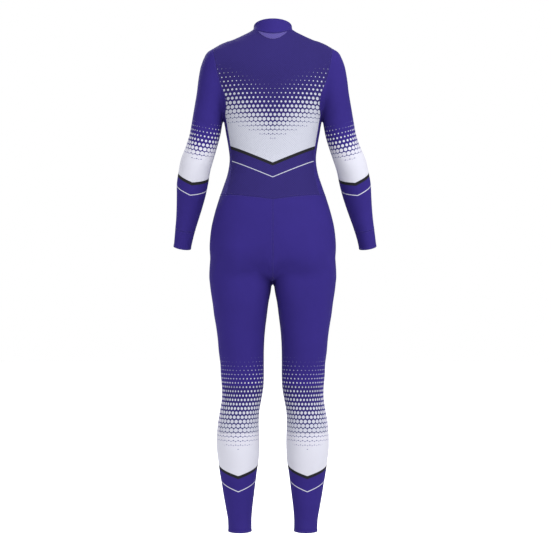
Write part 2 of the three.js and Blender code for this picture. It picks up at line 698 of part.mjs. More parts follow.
const calfGrid = steps(CELLS.calfRows, (t) => legRing(mix(ANKLE_Z, KNEE_BOTTOM_Z, t)));
const lowerGrid = [...calfGrid, ...kneeGrid.slice(1)];
function lowerLeg() {
  const cut = trimmed(lowerGrid, (edge) => edge !== "bottom");
  const notch = CELLS.calfRows; // the row where the insert's lower seam runs
  for (let i = 0; i <= KNEE_INSERT_CELLS; i += 1) {
    const along = lowerGrid[notch - 1][i].clone().sub(lowerGrid[notch][i]);
    cut[notch][i].addScaledVector(along, SEAM_GAP / 2 / along.length());
  }
  for (let j = notch; j < lowerGrid.length; j += 1) {
    const i = KNEE_INSERT_CELLS;
    const along = lowerGrid[j][i + 1].clone().sub(lowerGrid[j][i]);
    cut[j][i].addScaledVector(along, SEAM_GAP / 2 / along.length());
  }
  return cut;
}
const isLowerLeg = (j, i) => j < CELLS.calfRows || i >= KNEE_INSERT_CELLS;
addPair("lower_leg", lowerLeg(), PURPLE_KNIT, { has: isLowerLeg });

// The zip: two tapes that meet in the middle, from the waist seam to the top of the collar.
const collarEdge = collar.map((row) => row[row.length - 1]);
const zipLine = [...zipEdge, ...collarEdge.slice(1)];
const tapeGrid = zipLine.map((p) => [p.clone(), laid(vec(0, p.y, p.z))]);
addPair("zip_tape", trimmed(tapeGrid, (edge) => edge !== "top"), BLACK_TAPE, {}, ZIP_TAPE);

// The slider sits at the top of the zip, and its pull tab hangs from a bar across two ears.
const topOfZip = laid(vec(0, collarTop[collarTop.length - 1].y, collarTop[collarTop.length - 1].z));
const sliderZ = topOfZip.z - SLIDER.drop;
const sliderBack = min(
  ...[-1, 0, 1].map((end) => {
    const z = sliderZ + (end * SLIDER.height) / 2;
    return exitOf((r) => vec(0, neck(z).mid - r, z)).y - SLIDER.gap;
  }),
);
const BAR = vec(0, sliderBack - SLIDER.thick - PIVOT.out, sliderZ + PIVOT.up);

function solidOf(geometry) {
  const flat = geometry.index ? geometry.toNonIndexed() : geometry;
  const keys = new Map();
  const [vertProperties, triVerts] = [[], []];
  const place = flat.getAttribute("position");
  for (let k = 0; k < place.count; k += 1) {
    const xyz = [place.getX(k), place.getY(k), place.getZ(k)].map((v) => Math.round(v * 1e4) / 1e4);
    const key = xyz.join();
    if (!keys.has(key)) {
      keys.set(key, vertProperties.length / 3);
      vertProperties.push(...xyz);
    }
    triVerts.push(keys.get(key));
  }
  return new wasm.Manifold(
    new wasm.Mesh({
      numProp: 3,
      vertProperties: new Float32Array(vertProperties),
      triVerts: new Uint32Array(triVerts),
    }),
  );
}
function geometryOf(solid) {
  const mesh = solid.getMesh();
  const geometry = new THREE.BufferGeometry();
  geometry.setAttribute("position", new THREE.Float32BufferAttribute(Array.from(mesh.vertProperties), 3));
  geometry.setIndex(Array.from(mesh.triVerts));
  geometry.computeVertexNormals();
  return geometry;
}
const block = (x, y, z, at) => solidOf(new THREE.BoxGeometry(x, y, z).translate(at.x, at.y, at.z));
const rod = (radius, length, sides, at) =>
  solidOf(new THREE.CylinderGeometry(radius, radius, length, sides).rotateZ(PI / 2).translate(at.x, at.y, at.z));

function slider() {
  const ears = PIVOT.out + 1;
  const plate = block(SLIDER.width, SLIDER.thick, SLIDER.height, vec(0, sliderBack - SLIDER.thick / 2, sliderZ));
  const bar = rod(PIVOT.radius, SLIDER.earGap + SLIDER.ear, 8, BAR);
  return [-1, 1].reduce((made, side) => {
    const at = vec((side * (SLIDER.earGap + SLIDER.ear)) / 2, sliderBack - SLIDER.thick - ears / 2, BAR.z);
    return made.add(block(SLIDER.ear, ears + 0.4, 2.8, at));
  }, plate.add(bar));
}
add("zip_slider", geometryOf(slider()), DARK_METAL);

function pullTab() {
  const eye = rod(PULL.eyeRadius, PULL.eyeWidth, 16, BAR);
  const stemAt = vec(0, BAR.y, BAR.z - PULL.eyeHole - PULL.stem / 2);
  const stem = block(PULL.eyeWidth, PULL.thick, PULL.stem, stemAt);
  const [half, foot] = [PULL.width / 2, PULL.length - PULL.stem];
  const outline = new THREE.Shape();
  outline.moveTo(-half + 1, 0);
  outline.lineTo(-half, -2);
  outline.lineTo(-half, -foot + half);
  outline.absarc(0, -foot + half, half, PI, 2 * PI, false);
  outline.lineTo(half, -2);
  outline.lineTo(half - 1, 0);
  const plate = new THREE.ExtrudeGeometry(outline, { depth: PULL.thick, bevelEnabled: false, curveSegments: 8 });
  plate.rotateX(PI / 2).translate(0, BAR.y + PULL.thick / 2, BAR.z - PULL.stem);
  const hole = rod(PULL.eyeHole, PULL.eyeWidth + 2, 16, BAR);
  return eye.add(stem).add(solidOf(plate)).subtract(hole);
}
add("zip_pull", geometryOf(pullTab()), DARK_METAL);

export default suit;
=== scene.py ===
"""A one-piece race suit: its cloth, seams, print and zip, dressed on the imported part.

The shapes are worked out in millimetres, with +Z up, the back towards +Y and the wearer's left towards +X, and
go into their meshes in metres. Every panel is a surface on one smooth figure: a stack of level ovals for the
trunk, the neck, an arm and a leg, joined by rounded unions. A panel's grid is stretched between its seams, laid
on the figure, then shaped by its seams, hems and creases.
"""

import logging
import math
from collections.abc import Callable, Sequence
from dataclasses import dataclass, field
from enum import Enum

import bpy
import numpy as np
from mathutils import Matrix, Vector


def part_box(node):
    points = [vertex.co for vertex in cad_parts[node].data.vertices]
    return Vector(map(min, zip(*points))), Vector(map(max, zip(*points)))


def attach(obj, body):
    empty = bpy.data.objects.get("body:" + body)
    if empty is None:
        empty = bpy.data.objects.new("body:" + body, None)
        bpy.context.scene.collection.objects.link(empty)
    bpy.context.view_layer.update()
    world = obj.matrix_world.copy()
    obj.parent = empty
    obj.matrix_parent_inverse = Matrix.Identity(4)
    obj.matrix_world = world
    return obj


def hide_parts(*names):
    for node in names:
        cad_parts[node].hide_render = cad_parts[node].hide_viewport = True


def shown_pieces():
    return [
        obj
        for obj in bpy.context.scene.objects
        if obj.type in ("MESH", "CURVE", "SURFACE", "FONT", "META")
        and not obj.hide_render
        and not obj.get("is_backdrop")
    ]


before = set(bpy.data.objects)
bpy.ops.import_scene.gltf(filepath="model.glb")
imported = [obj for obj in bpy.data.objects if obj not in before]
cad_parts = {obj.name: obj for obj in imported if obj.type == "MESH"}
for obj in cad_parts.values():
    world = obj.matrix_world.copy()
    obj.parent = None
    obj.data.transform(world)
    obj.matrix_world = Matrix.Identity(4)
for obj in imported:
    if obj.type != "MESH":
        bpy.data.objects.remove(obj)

Array = np.ndarray
Row = tuple[float, ...]

log = logging.getLogger("race_suit")

MM = 0.001
BODY = "suit"

# The cut, as in the part's source: cells of each seam, fixed heights and corners
SHOULDER, NECK_BACK, NECK_FRONT, SIDE = 5, 5, 5, 3
SIDE_ROWS, ARMHOLE_ROWS, FAN_ROWS, ARM_ROWS, CUFF_ROWS = 8, 8, 8, 13, 2
SEAT_ROWS, THIGH_ROWS, KNEE_ROWS, CALF_ROWS, COLLAR_ROWS = 12, 10, 4, 10, 2
BACK_CELLS, FRONT_CELLS = NECK_BACK + SHOULDER, NECK_FRONT + SHOULDER
LEG_CELLS = BACK_CELLS + SIDE + FRONT_CELLS + 1
KNEE_INSERT_CELLS = 9
ARMPIT_FRONT_DEG, ARMPIT_BACK_DEG = -106.0, -74.0
WAIST_SEAM_Z, WAIST_SEAM_DIP = -438.0, 14.0
CROTCH_Y, CROTCH_HEART_Z = 14.0, -596.0
KNEE_TOP_Z, KNEE_BOTTOM_Z, ANKLE_Z = -958.0, -1083.0, -1358.0
CUFF_LENGTH, SLEEVE_END_Z, ZIP_HALF_WIDTH = 51.0, -531.0, 5.0
# How far each cut edge reaches over its seam's line, so that no light shows between two panels
SEAM_LAP = 0.06
MOON_CELLS, MOON_HALF_WIDTH, MOON_TOP, MOON_EDGE, MOON_DROP, MOON_LEAN = (4, 16), 38.0, 3.0, 4.5, 19.0, 6.0
# The right forearm hangs a little wider than the left one: from which height, over what height, and how far
SWING_FROM, SWING_OVER, SWING_OUT = -285.0, 275.0, 12.0

# Where the grid of a leg and of an arm turns a corner of the neighbouring panels
LEG_BREAKS = (5, 9, 10, 13, 18, 23)
ARM_BREAKS = (3, 11)


def steps(count: int) -> Array:
    """Returns count + 1 even shares from 0 to 1."""
    return np.arange(count + 1) / count


def mix(a: Array | float, b: Array | float, t: Array | float) -> Array | float:
    """Returns the value a share t of the way from a to b."""
    return a + (b - a) * t


def smooth(t: Array) -> Array:
    """Returns the share t, held between 0 and 1 and eased at both ends: 3 t squared less 2 t cubed."""
    t = np.clip(t, 0.0, 1.0)
    return t * t * (3 - 2 * t)


def points(x: Array | float, y: Array | float, z: Array | float) -> Array:
    """Returns points whose last axis is x, y and z."""
    return np.stack(np.broadcast_arrays(x, y, z), axis=-1).astype(float)


def unit(v: Array) -> Array:
    """Returns vectors of length 1 along v."""
    return v / np.maximum(np.linalg.norm(v, axis=-1, keepdims=True), 1e-12)


def cubic(a: Array, b: Array, out_of: Array, into: Array, t: Array) -> Array:
    """Returns the smooth curve from a to b at shares t of the way, with its slopes out of a and into b.

    It is (2 t cubed - 3 t squared + 1) a + (t cubed - 2 t squared + t) out_of + (3 t squared - 2 t cubed) b +
    (t cubed - t squared) into.
    """
    t2, t3 = t * t, t * t * t
    start = (2 * t3 - 3 * t2 + 1) * a + (t3 - 2 * t2 + t) * out_of
    return start + (3 * t2 - 2 * t3) * b + (t3 - t2) * into


class Sections:
    """A stack of sections, highest first, read at any height through a smooth curve down each column."""

    def __init__(self, columns: str, rows: Sequence[Row]) -> None:
        """Keeps the table and the slope of each column at each row.

        Args:
            columns: the columns' names after the height's.
            rows: the height and the columns' values, a row for each section.
        """
        table = np.array(rows, float)
        self.names = columns.split()
        self.z, self.values = table[:, 0], table[:, 1:]
        at = np.arange(len(table))
        low, high = np.maximum(at - 1, 0), np.minimum(at + 1, len(table) - 1)
        self.slopes = (self.values[high] - self.values[low]) / (self.z[high] - self.z[low])[:, None]

    def __call__(self, z: Array | float) -> dict[str, Array]:
        """Reads every column at heights z: cubic curves through the rows with their slopes.

        Args:
            z: heights.

        Returns:
            The columns by name, and "beyond", how far each height lies past the table's ends.
        """
        z = np.asarray(z, float)
        last = len(self.z) - 1
        k = np.searchsorted(-self.z[1:last], -z, side="left")
        span = (self.z[k + 1] - self.z[k])[..., None]
        t = np.clip((z[..., None] - self.z[k][..., None]) / span, 0, 1)
        value = cubic(self.values[k], self.values[k + 1], span * self.slopes[k], span * self.slopes[k + 1], t)
        found = {name: value[..., c] for c, name in enumerate(self.names)}
        found["beyond"] = np.maximum(np.maximum(z - self.z[0], self.z[-1] - z), 0)
        return found


TRUNK = Sections("half mid front back full", [
    (38, 18, 2, 16, 18, 1.8), (23, 41, 3, 22.5, 30.5, 1.8), (8, 70, 4, 29.5, 40.5, 1.8),
    (-9, 106, 5, 38, 51, 1.8), (-25, 147, 5, 48.5, 61.5, 1.9), (-42, 167, 4, 57.5, 71.5, 2.1),
    (-58, 171, 3, 66, 79, 2.3), (-90, 165, 2, 81, 89, 2.5), (-125, 157, 0, 96, 97, 2.5),
    (-160, 149, -2, 106, 101, 2.5),
    (-195, 141, -4, 111, 100, 2.4), (-225, 135, -6, 108, 97, 2.35), (-260, 130, -8, 100, 92, 2.3),
    (-300, 123, -10, 93, 88, 2.25), (-337, 119, -10, 90, 86, 2.2), (-375, 124, -8, 93, 89, 2.2),
    (-410, 135, -4, 99, 95, 2.25), (-445, 147, 0, 105, 103, 2.3), (-485, 159, 6, 110, 112, 2.3),
    (-530, 169, 10, 112, 119, 2.3), (-575, 172, 12, 109, 119, 2.3), (-602, 166, 13, 101, 112, 2.3),
    (-624, 150, 14, 88, 102, 2.1), (-642, 124, 14, 73, 86, 2.0), (-656, 92, 14, 54, 64, 1.9),
    (-667, 54, 14, 30, 36, 1.8), (-674, 6, 14, 6, 6, 1.8),
])
NECK = Sections("half mid front back", [
    (70, 49, -22, 50, 50), (40, 52, -12, 53, 52), (15, 52, -4, 55, 53), (-15, 51, 3, 56, 52), (-60, 49, 8, 52, 48),
    (-110, 40, 8, 44, 40),
])
ARM = Sections("out mid half deep", [
    (-27, 124, 4, 4, 5), (-35, 130, 4, 25, 27), (-44.5, 137.5, 4, 39.5, 43.5), (-61, 146.3, 3, 42.5, 49.5),
    (-75, 152, 2, 43, 52), (-90, 156, 1, 43.5, 54), (-122, 161.5, 0, 43.5, 55), (-155, 165.5, -1, 43.5, 54),
    (-188, 171.5, -1, 43, 52), (-221, 177.5, 0, 42.5, 50), (-238, 180.5, 1, 42.3, 49), (-271, 186.5, 3, 42.4, 48),
    (-304, 196, 5, 43.4, 47), (-337, 207, 7, 45, 46), (-370, 215, 6, 43.5, 45), (-403, 220.5, 1, 43.2, 44),
    (-436, 224.5, -5, 40, 42), (-469, 229.7, -12, 35.7, 38.5), (-502, 236, -19, 31.3, 34.5),
    (-535, 243, -26, 27.6, 31), (-568, 249, -33, 25, 29), (-600, 255, -40, 24, 28),
])
LEG = Sections("out mid half front back full", [
    (-480, 84, 10, 16, 24, 34, 2), (-520, 85, 12, 56, 70, 84, 2.1), (-555, 85.5, 13, 77, 89, 103, 2.3),
    (-585, 86, 14, 84, 96, 110, 2.4), (-612, 86.5, 15, 85, 97, 108, 2.5), (-640, 87.5, 15, 86, 97, 102, 2.5),
    (-662, 88, 14.5, 86, 95, 96, 2.45), (-680, 88, 14, 84.3, 94, 92, 2.4), (-700, 88, 13, 82, 92, 88, 2.3),
    (-733, 88.7, 11, 76.3, 88, 86, 2.2), (-766, 88.7, 9, 72.2, 85, 82, 2.1), (-799, 88, 7, 67.4, 82, 78, 2),
    (-832, 87.3, 5, 63.9, 79, 74, 2), (-865, 86.6, 3, 61.9, 75, 69, 2), (-898, 84.6, 0, 59.8, 71, 64, 2),
    (-931, 83.9, -3, 59.1, 67, 59, 2), (-964, 83.2, -6, 57, 63, 56, 2), (-997, 86, -5, 54.5, 59, 57, 2),
    (-1030, 91.5, 0, 54.3, 55, 60, 2), (-1063, 95, 5, 56.4, 54, 63, 2), (-1096, 95.6, 9, 58.4, 54, 65, 2),
    (-1129, 95.6, 11, 58.4, 54, 63, 2), (-1162, 94.5, 12, 55.6, 52, 58, 2), (-1195, 94.7, 12, 50.9, 49, 52, 2),
    (-1228, 94, 11, 46, 46, 47, 2), (-1261, 93.5, 10, 41.3, 43, 43, 2), (-1294, 92.5, 9, 36.4, 40, 40, 2),
    (-1327, 91, 8, 32.4, 38, 38, 2), (-1375, 90, 7, 32.2, 38, 39, 2),
])
# How far the armhole's upright surface lies from the middle plane, at the back and at the front
ARMHOLE = Sections("back front", [
    (-10, 168, 166), (-43, 162, 161), (-70, 158, 153), (-100, 152, 143), (-128, 144, 134), (-155, 135, 128),
    (-178, 129, 126), (-205, 128, 128), (-230, 131, 132), (-260, 134, 135),
])
# The side panel's two seams: y at each height
SIDE_SEAMS = Sections("back front", [
    (-200, 28, -30), (-250, 26, -32), (-300, 22, -34), (-337, 22, -37), (-390, 38, -50), (-460, 64, -66),
])


@dataclass(frozen=True)
class Figure:
    """The smooth figure that the cloth lies on: less than 0 inside it, 0 on the cloth's outer face."""

    neck_round: float = 22.0
    armpit_round: float = 10.0
    arm_round: float = 32.0
    fork_round: float = 10.0
    seat_round: float = 42.0
    # Heights between which the neck, the arms and the legs are joined on
    neck_foot: float = -130.0
    arm_top: float = 10.0
    leg_top: float = -440.0
    # Where an arm's rounding starts to grow, and over what height; the same for a leg's, towards the middle plane
    armpit_z: float = -235.0
    armpit_over: float = 75.0
    fork_z: float = -690.0
    fork_over: float = 90.0
    seat_half: float = 200.0
    # How points are laid on the figure and how a path out of it is followed
    slope_step: float = 0.05
    least_slope: float = 0.2
    longest_step: float = 12.0
    near_enough: float = 1e-3
    first_reach: float = 2.0
    stride: float = 4.0
    halvings: int = 26

    @staticmethod
    def oval(dx: Array, dy: Array, half: Array, deep: Array, full: Array | float) -> Array:
        """Returns roughly how far a point of a level plane lies outside an oval.

        The oval is the curve where (x / half) to the power full plus (y / deep) to the power full is 1. The
        distance is that reach less 1, over its slope.
        """
        u = np.maximum(np.abs(dx) / half, 1e-6)
        v = np.maximum(np.abs(dy) / deep, 1e-6)
        reach = (u**full + v**full) ** (1 / full)
        steep = reach ** (1 - full) * np.hypot(u ** (full - 1) / half, v ** (full - 1) / deep)
        return (reach - 1) / steep

    @staticmethod
    def rounded(a: Array, b: Array, radius: Array | float) -> Array:
        """Returns the smaller of two distances, rounded where they are within a radius of each other."""
        near = np.maximum(radius - np.abs(a - b), 0) / radius
        return np.minimum(a, b) - near**3 * radius / 6

    def part(self, table: Sections, x: Array, p: Array, inner_full: bool = False) -> Array:
        """Returns the distance outside one part of the figure.

        Args:
            table: the part's sections.
            x: how far each point lies from the middle plane, or from the other side of it.
            p: the points.
            inner_full: whether the section's fullness holds on its inner side alone, as on a leg.
        """
        section = table(p[..., 2])
        across = x - section.get("out", 0.0)
        dy = p[..., 1] - section["mid"]
        deep = section["deep"] if "deep" in section else np.where(dy > 0, section["back"], section["front"])
        full = section.get("full", 2.0)
        if inner_full:
            full = np.where(across < 0, full, 2.0)
        return self.oval(across, dy, section["half"], deep, full) + section["beyond"]

    def __call__(self, p: Array) -> Array:
        """Returns how far points lie outside the figure: the parts' rounded union."""
        x, z = p[..., 0], p[..., 2]
        d = self.part(TRUNK, x, p)
        d = np.where(z > self.neck_foot, self.rounded(d, self.part(NECK, x, p), self.neck_round), d)
        share = np.clip((z - self.armpit_z) / self.armpit_over, 0, 1)
        arm = self.rounded(d, self.part(ARM, np.abs(x), p), mix(self.armpit_round, self.arm_round, share))
        d = np.where(z < self.arm_top, arm, d)
        legs = self.rounded(self.part(LEG, x, p, True), self.part(LEG, -x, p, True), self.fork_round)
        share = np.clip((z - self.fork_z) / self.fork_over, 0, 1)
        share = share * np.maximum(1 - np.abs(x) / self.seat_half, 0)
        leg = self.rounded(d, legs, mix(self.fork_round, self.seat_round, share))
        return np.where(z < self.leg_top, leg, d)

    def slope(self, p: Array) -> Array:
        """Returns the figure's slope at points, from differences over a short step each way."""
        each_way = np.eye(3) * self.slope_step
        return np.stack([(self(p + s) - self(p - s)) / (2 * self.slope_step) for s in each_way], axis=-1)

    def laid(self, p: Array, passes: int = 12) -> Array:
        """Returns points laid on the figure by steps down its slope.

        Each step is the distance over the slope's square.
        """
        for _ in range(passes):
            slope = self.slope(p)
            off = self(p) / np.maximum((slope**2).sum(-1), self.least_slope)
            p = p - slope * np.clip(off, -self.longest_step, self.longest_step)[..., None]
            if np.abs(off).max() < self.near_enough:
                break
        return p

    def exit(self, at: Callable[[Array], Array], count: int | tuple[int, ...], reach: float = 260.0) -> Array:
        """Returns the first place where each path that starts inside the figure leaves it.

        Args:
            at: gives the paths' points at distances r along them.
            count: how many paths there are.
            reach: how far they are followed.

        Returns:
            A point for each path.
        """
        inner = np.full(count, self.first_reach)
        outer = inner.copy()
        live = np.ones(count, bool)
        while live.any():
            live &= (outer < reach) & (self(at(outer)) < 0)
            inner = np.where(live, outer, inner)
            outer = np.where(live, outer + self.stride, outer)
        for _ in range(self.halvings):
            half = (inner + outer) / 2
            inside = self(at(half)) < 0
            inner, outer = np.where(inside, half, inner), np.where(inside, outer, half)
        return at(outer)


FIGURE = Figure()


def mirrored(p: Array) -> Array:
    """Returns points on the other side of the middle plane."""
    return p * np.array([-1.0, 1.0, 1.0])


def settled(grid: Array, passes: int = 12) -> Array:
    """Returns a grid whose inner points have moved, pass by pass, to the middle of their neighbours, relaid."""
    for _ in range(passes):
        around = (grid[1:-1, :-2] + grid[1:-1, 2:] + grid[:-2, 1:-1] + grid[2:, 1:-1]) / 4
        grid = grid.copy()
        grid[1:-1, 1:-1] = FIGURE.laid(around, 6)
    return grid


def stretched(bottom: Array, top: Array, left: Array, right: Array) -> Array:
    """Returns a grid stretched between four seams that share their corners, laid on the figure and settled.

    An inner point is the mean between left and right, plus that between bottom and top, less the one between the
    corners. bottom and top run across, left and right run up.
    """
    s = steps(len(bottom) - 1)[None, :, None]
    t = steps(len(left) - 1)[:, None, None]
    grid = bottom * (1 - t) + top * t + left[:, None] * (1 - s) + right[:, None] * s
    grid = grid - bottom[0] * (1 - s) * (1 - t) - bottom[-1] * s * (1 - t)
    grid = grid - top[0] * (1 - s) * t - top[-1] * s * t
    grid = FIGURE.laid(grid, 30)
    grid[0], grid[-1], grid[:, 0], grid[:, -1] = bottom, top, left, right
    return settled(grid)


def waved(waves: tuple[float, float, float], angle: Array | float) -> Array | float:
    """Returns a middle value, plus a share of the angle's cosine, plus one of the doubled angle's cosine."""
    return waves[0] + waves[1] * np.cos(angle) + waves[2] * np.cos(2 * angle)


@dataclass
class Cut:
    """The suit's cut: its seams as rows of points on the figure, and a coarse grid for each panel.

    Seams are those of the wearer's left half.
    """

    neck_heart: tuple[float, float, float] = (0.0, 3.0, -5.0)
    neck_radius: float = 52.0
    # How the neck seam's rays rise round the neck, how the collar's top edge does, and how level the front ray is
    neck_waves: tuple[float, float, float] = (-0.01, 0.4, -0.27)
    collar_waves: tuple[float, float, float] = (25.8, 18.5, -1.3)
    front_level: float = 0.82
    shoulder_heart_z: float = -70.0
    armhole_heart_y: float = 4.0
    armhole_heart_z: float = -128.0
    # The line that the upper sleeve's rings turn on like a fan, how steep the last one is, and how fast they turn
    fan_pivot_x: float = 118.0
    fan_pivot_z: float = -266.0
    fan_end: float = math.radians(9)
    fan_power: float = 1.3
    fan_head: float = 40.0
    axis_step: float = 12.0
    arm_reach: float = 130.0
    leg_reach: float = 150.0
    inseam_turn: float = math.radians(8)
    inseam_over: float = 150.0
    waist_dip_half: float = 118.0
    waist_dip_power: float = 1.2

    def __post_init__(self) -> None:
        """Works out the seams and grids in order."""
        self.seams_of_neck()
        self.seams_of_armhole()
        self.seams_of_body()
        self.grids_of_body()
        self.grids_of_arm()
        self.grids_of_leg()

    def on_neck(self, angle: Array) -> Array:
        """Returns the neck seam's points at angles from the centre back, where tilted rays leave the figure."""
        way = points(np.sin(angle), np.cos(angle), waved(self.neck_waves, angle))
        return FIGURE.exit(lambda r: self.neck_heart + r[..., None] * way, angle.shape)

    def seams_of_neck(self) -> None:
        """Finds the neck seam and the collar's top edge, from the centre back to the zip."""

        def angles(reach: float) -> Array:
            back = math.pi / 2 * steps(NECK_BACK)
            front = mix(math.pi / 2, math.pi - math.asin(ZIP_HALF_WIDTH / reach), steps(NECK_FRONT))
            return np.concatenate([back, front[1:]])

        front = self.on_neck(np.array([math.pi]))[0]
        self.neck_seam = self.on_neck(angles(float(np.linalg.norm(front - self.neck_heart)) * self.front_level))
        turn = angles(float(NECK(waved(self.collar_waves, math.pi))["front"]))
        z = waved(self.collar_waves, turn)
        mid = NECK(z)["mid"]
        self.collar_top = FIGURE.exit(lambda r: points(r * np.sin(turn), mid + r * np.cos(turn), z), turn.shape)

    def armhole_out(self, z: Array | float, angle: Array | float) -> Array:
        """Returns how far from the middle plane the armhole lies, between its front and back lines."""
        line = ARMHOLE(z)
        return mix(line["front"], line["back"], (1 + np.cos(angle)) / 2)

    def on_armhole(self, degrees: Array) -> Array:
        """Returns the armhole seam's points at angles round its heart."""
        angle = np.radians(degrees)

        def at(r: Array) -> Array:
            y, z = self.armhole_heart_y + r * np.cos(angle), self.armhole_heart_z + r * np.sin(angle)
            return points(self.armhole_out(z, angle), y, z)

        return FIGURE.exit(at, angle.shape)

    def seams_of_armhole(self) -> None:
        """Finds the armhole's three seams and the shoulder seam."""
        t = steps(ARMHOLE_ROWS)
        self.armhole_back = self.on_armhole(mix(ARMPIT_BACK_DEG, 90.0, t))
        self.armhole_front = self.on_armhole(mix(360 + ARMPIT_FRONT_DEG, 90.0, t))
        self.armhole_under = self.on_armhole(mix(ARMPIT_BACK_DEG, ARMPIT_FRONT_DEG, steps(SIDE)))
        side, tip = self.neck_seam[NECK_BACK], self.armhole_back[-1]
        t = steps(SHOULDER)
        x, y = mix(side[0], tip[0], t), mix(side[1], tip[1], t)
        self.shoulder_seam = FIGURE.exit(lambda r: points(x, y, r + self.shoulder_heart_z), t.shape)
        self.shoulder_seam[0], self.shoulder_seam[-1] = side, tip

    def on_waist(self, angle: Array, dips: bool) -> Array:
        """Returns the waist seam's points at angles round the trunk.

        Where it dips, it does so by a power of how near the centre back a point is.
        """

        def at(r: Array) -> Array:
            x = r * np.sin(angle)
            near = np.maximum(1 - np.abs(x) / self.waist_dip_half, 0)
            dip = WAIST_SEAM_DIP * near**self.waist_dip_power
            return points(x, r * np.cos(angle), WAIST_SEAM_Z - dips * dip)

        return FIGURE.exit(at, angle.shape)

    def seams_of_body(self) -> None:
        """Finds the side seams, the waist seam and the front edge beside the zip."""

        def side_seam(which: str, corner: Array) -> Array:
            t = steps(SIDE_ROWS)
            z = mix(WAIST_SEAM_Z, corner[2], t)
            y = mix(SIDE_SEAMS(z)[which], corner[1], t**4)
            seam = FIGURE.exit(lambda r: points(r, y, z), t.shape)
            seam[-1] = corner
            return seam

        def bearing(p: Array) -> float:
            return math.atan2(p[0], p[1])

        self.side_back = side_seam("back", self.armhole_back[0])
        self.side_front = side_seam("front", self.armhole_front[0])
        foot = FIGURE.exit(lambda r: points(ZIP_HALF_WIDTH, -r, WAIST_SEAM_Z), 1)[0]
        back, front = bearing(self.side_back[0]), bearing(self.side_front[0])
        self.waist_back = self.on_waist(back * steps(BACK_CELLS), True)
        self.waist_side = self.on_waist(mix(back, front, steps(SIDE)), False)
        self.waist_front = self.on_waist(mix(front, bearing(foot), steps(FRONT_CELLS)), False)
        self.waist_middle = FIGURE.exit(lambda r: points(0, -r, WAIST_SEAM_Z), 1)[0]
        t = steps(SIDE_ROWS + ARMHOLE_ROWS)
        z = mix(WAIST_SEAM_Z, self.neck_seam[-1][2], t)
        self.zip_edge = FIGURE.exit(lambda r: points(ZIP_HALF_WIDTH, -r, z), t.shape)
        self.zip_edge[-1] = self.neck_seam[-1]

    def grids_of_body(self) -> None:
        """Stretches the back, a front, a side panel, the collar and a zip tape."""

        def whole(half: Array) -> Array:
            return np.concatenate([mirrored(half)[::-1], half[1:]])

        side = np.concatenate([self.side_back, self.armhole_back[1:]])
        top = np.concatenate([self.neck_seam[: NECK_BACK + 1], self.shoulder_seam[1:]])
        self.back = stretched(whole(self.waist_back), whole(top), mirrored(side), side)
        top = np.concatenate([self.shoulder_seam[:0:-1], self.neck_seam[NECK_BACK:]])
        side = np.concatenate([self.side_front, self.armhole_front[1:]])
        self.front = stretched(self.waist_front, top, side, self.zip_edge)
        self.side = stretched(self.waist_side, self.armhole_under, self.side_back, self.side_front)
        t = steps(COLLAR_ROWS)[:, None, None]
        half = mix(self.neck_seam, self.collar_top, t)
        half[1:-1] = FIGURE.laid(half[1:-1])
        self.collar = np.stack([whole(row) for row in half])
        line = np.concatenate([self.zip_edge, self.collar[1:, -1]])
        self.tape = np.stack([line, FIGURE.laid(line * np.array([0.0, 1.0, 1.0]))], axis=1)

    def half_moon(self) -> Array:
        """Returns the half moon's grid under the collar: its lower edge falls off with the share squared."""
        share = mix(-1.0, 1.0, steps(MOON_CELLS[1]))
        start = self.on_neck(share * math.asin(MOON_HALF_WIDTH / self.neck_radius))[None]
        low = mix(MOON_EDGE, MOON_DROP, 1 - share * share)
        t = steps(MOON_CELLS[0])[::-1, None]
        p = points(start[..., 0], start[..., 1] + MOON_LEAN * t, start[..., 2] - mix(MOON_TOP, low, t))
        return FIGURE.laid(p, 20)

    def arm_frame(self, z: Array) -> tuple[Array, Array, Array]:
        """Returns the centre, the outward and the backward direction of rings square to the arm at heights z."""
        here, above, below = ARM(z), ARM(z + self.axis_step), ARM(z - self.axis_step)
        down = unit(points(below["out"] - above["out"], below["mid"] - above["mid"], -2 * self.axis_step))
        back = unit(np.array([0.0, 1.0, 0.0]) - down * down[..., 1:2])
        away = unit(np.cross(back, down))
        away = np.where(away[..., :1] < 0, -away, away)
        return points(here["out"], here["mid"], z), away, back

    def fan_frame(self, t: Array) -> tuple[Array, Array, Array]:
        """Returns the frames of rings that turn like a fan on a line under the arm, from the armhole down."""
        rise = self.armhole_heart_z - self.fan_pivot_z
        start = math.atan2(rise, float(self.armhole_out(self.armhole_heart_z, math.pi / 2)) - self.fan_pivot_x)
        angle = mix(start, self.fan_end, t**self.fan_power)
        low = np.full(t.shape, self.fan_pivot_z)
        high = np.full(t.shape, self.armhole_heart_z + self.fan_head)
        for _ in range(40):
            z = (low + high) / 2
            too_high = np.arctan2(z - self.fan_pivot_z, ARM(z)["out"] - self.fan_pivot_x) > angle
            low, high = np.where(too_high, low, z), np.where(too_high, z, high)
        here = ARM(low)
        centre = points(here["out"], mix(self.armhole_heart_y, here["mid"], t), low)
        back = np.broadcast_to(np.array([0.0, 1.0, 0.0]), centre.shape)
        return centre, points(np.cos(angle), 0, np.sin(angle)), back

    def arm_rings(self, ring_frame: tuple[Array, Array, Array]) -> Array:
        """Returns rings of the arm whose points turn from under it by the front, the outside and the back."""
        centre, away, back = (part[:, None] for part in ring_frame)
        way = away * np.cos(self.ring_turn)[:, None] + back * np.sin(self.ring_turn)[:, None]
        return FIGURE.exit(lambda r: centre + r[..., None] * way, way.shape[:2], self.arm_reach)

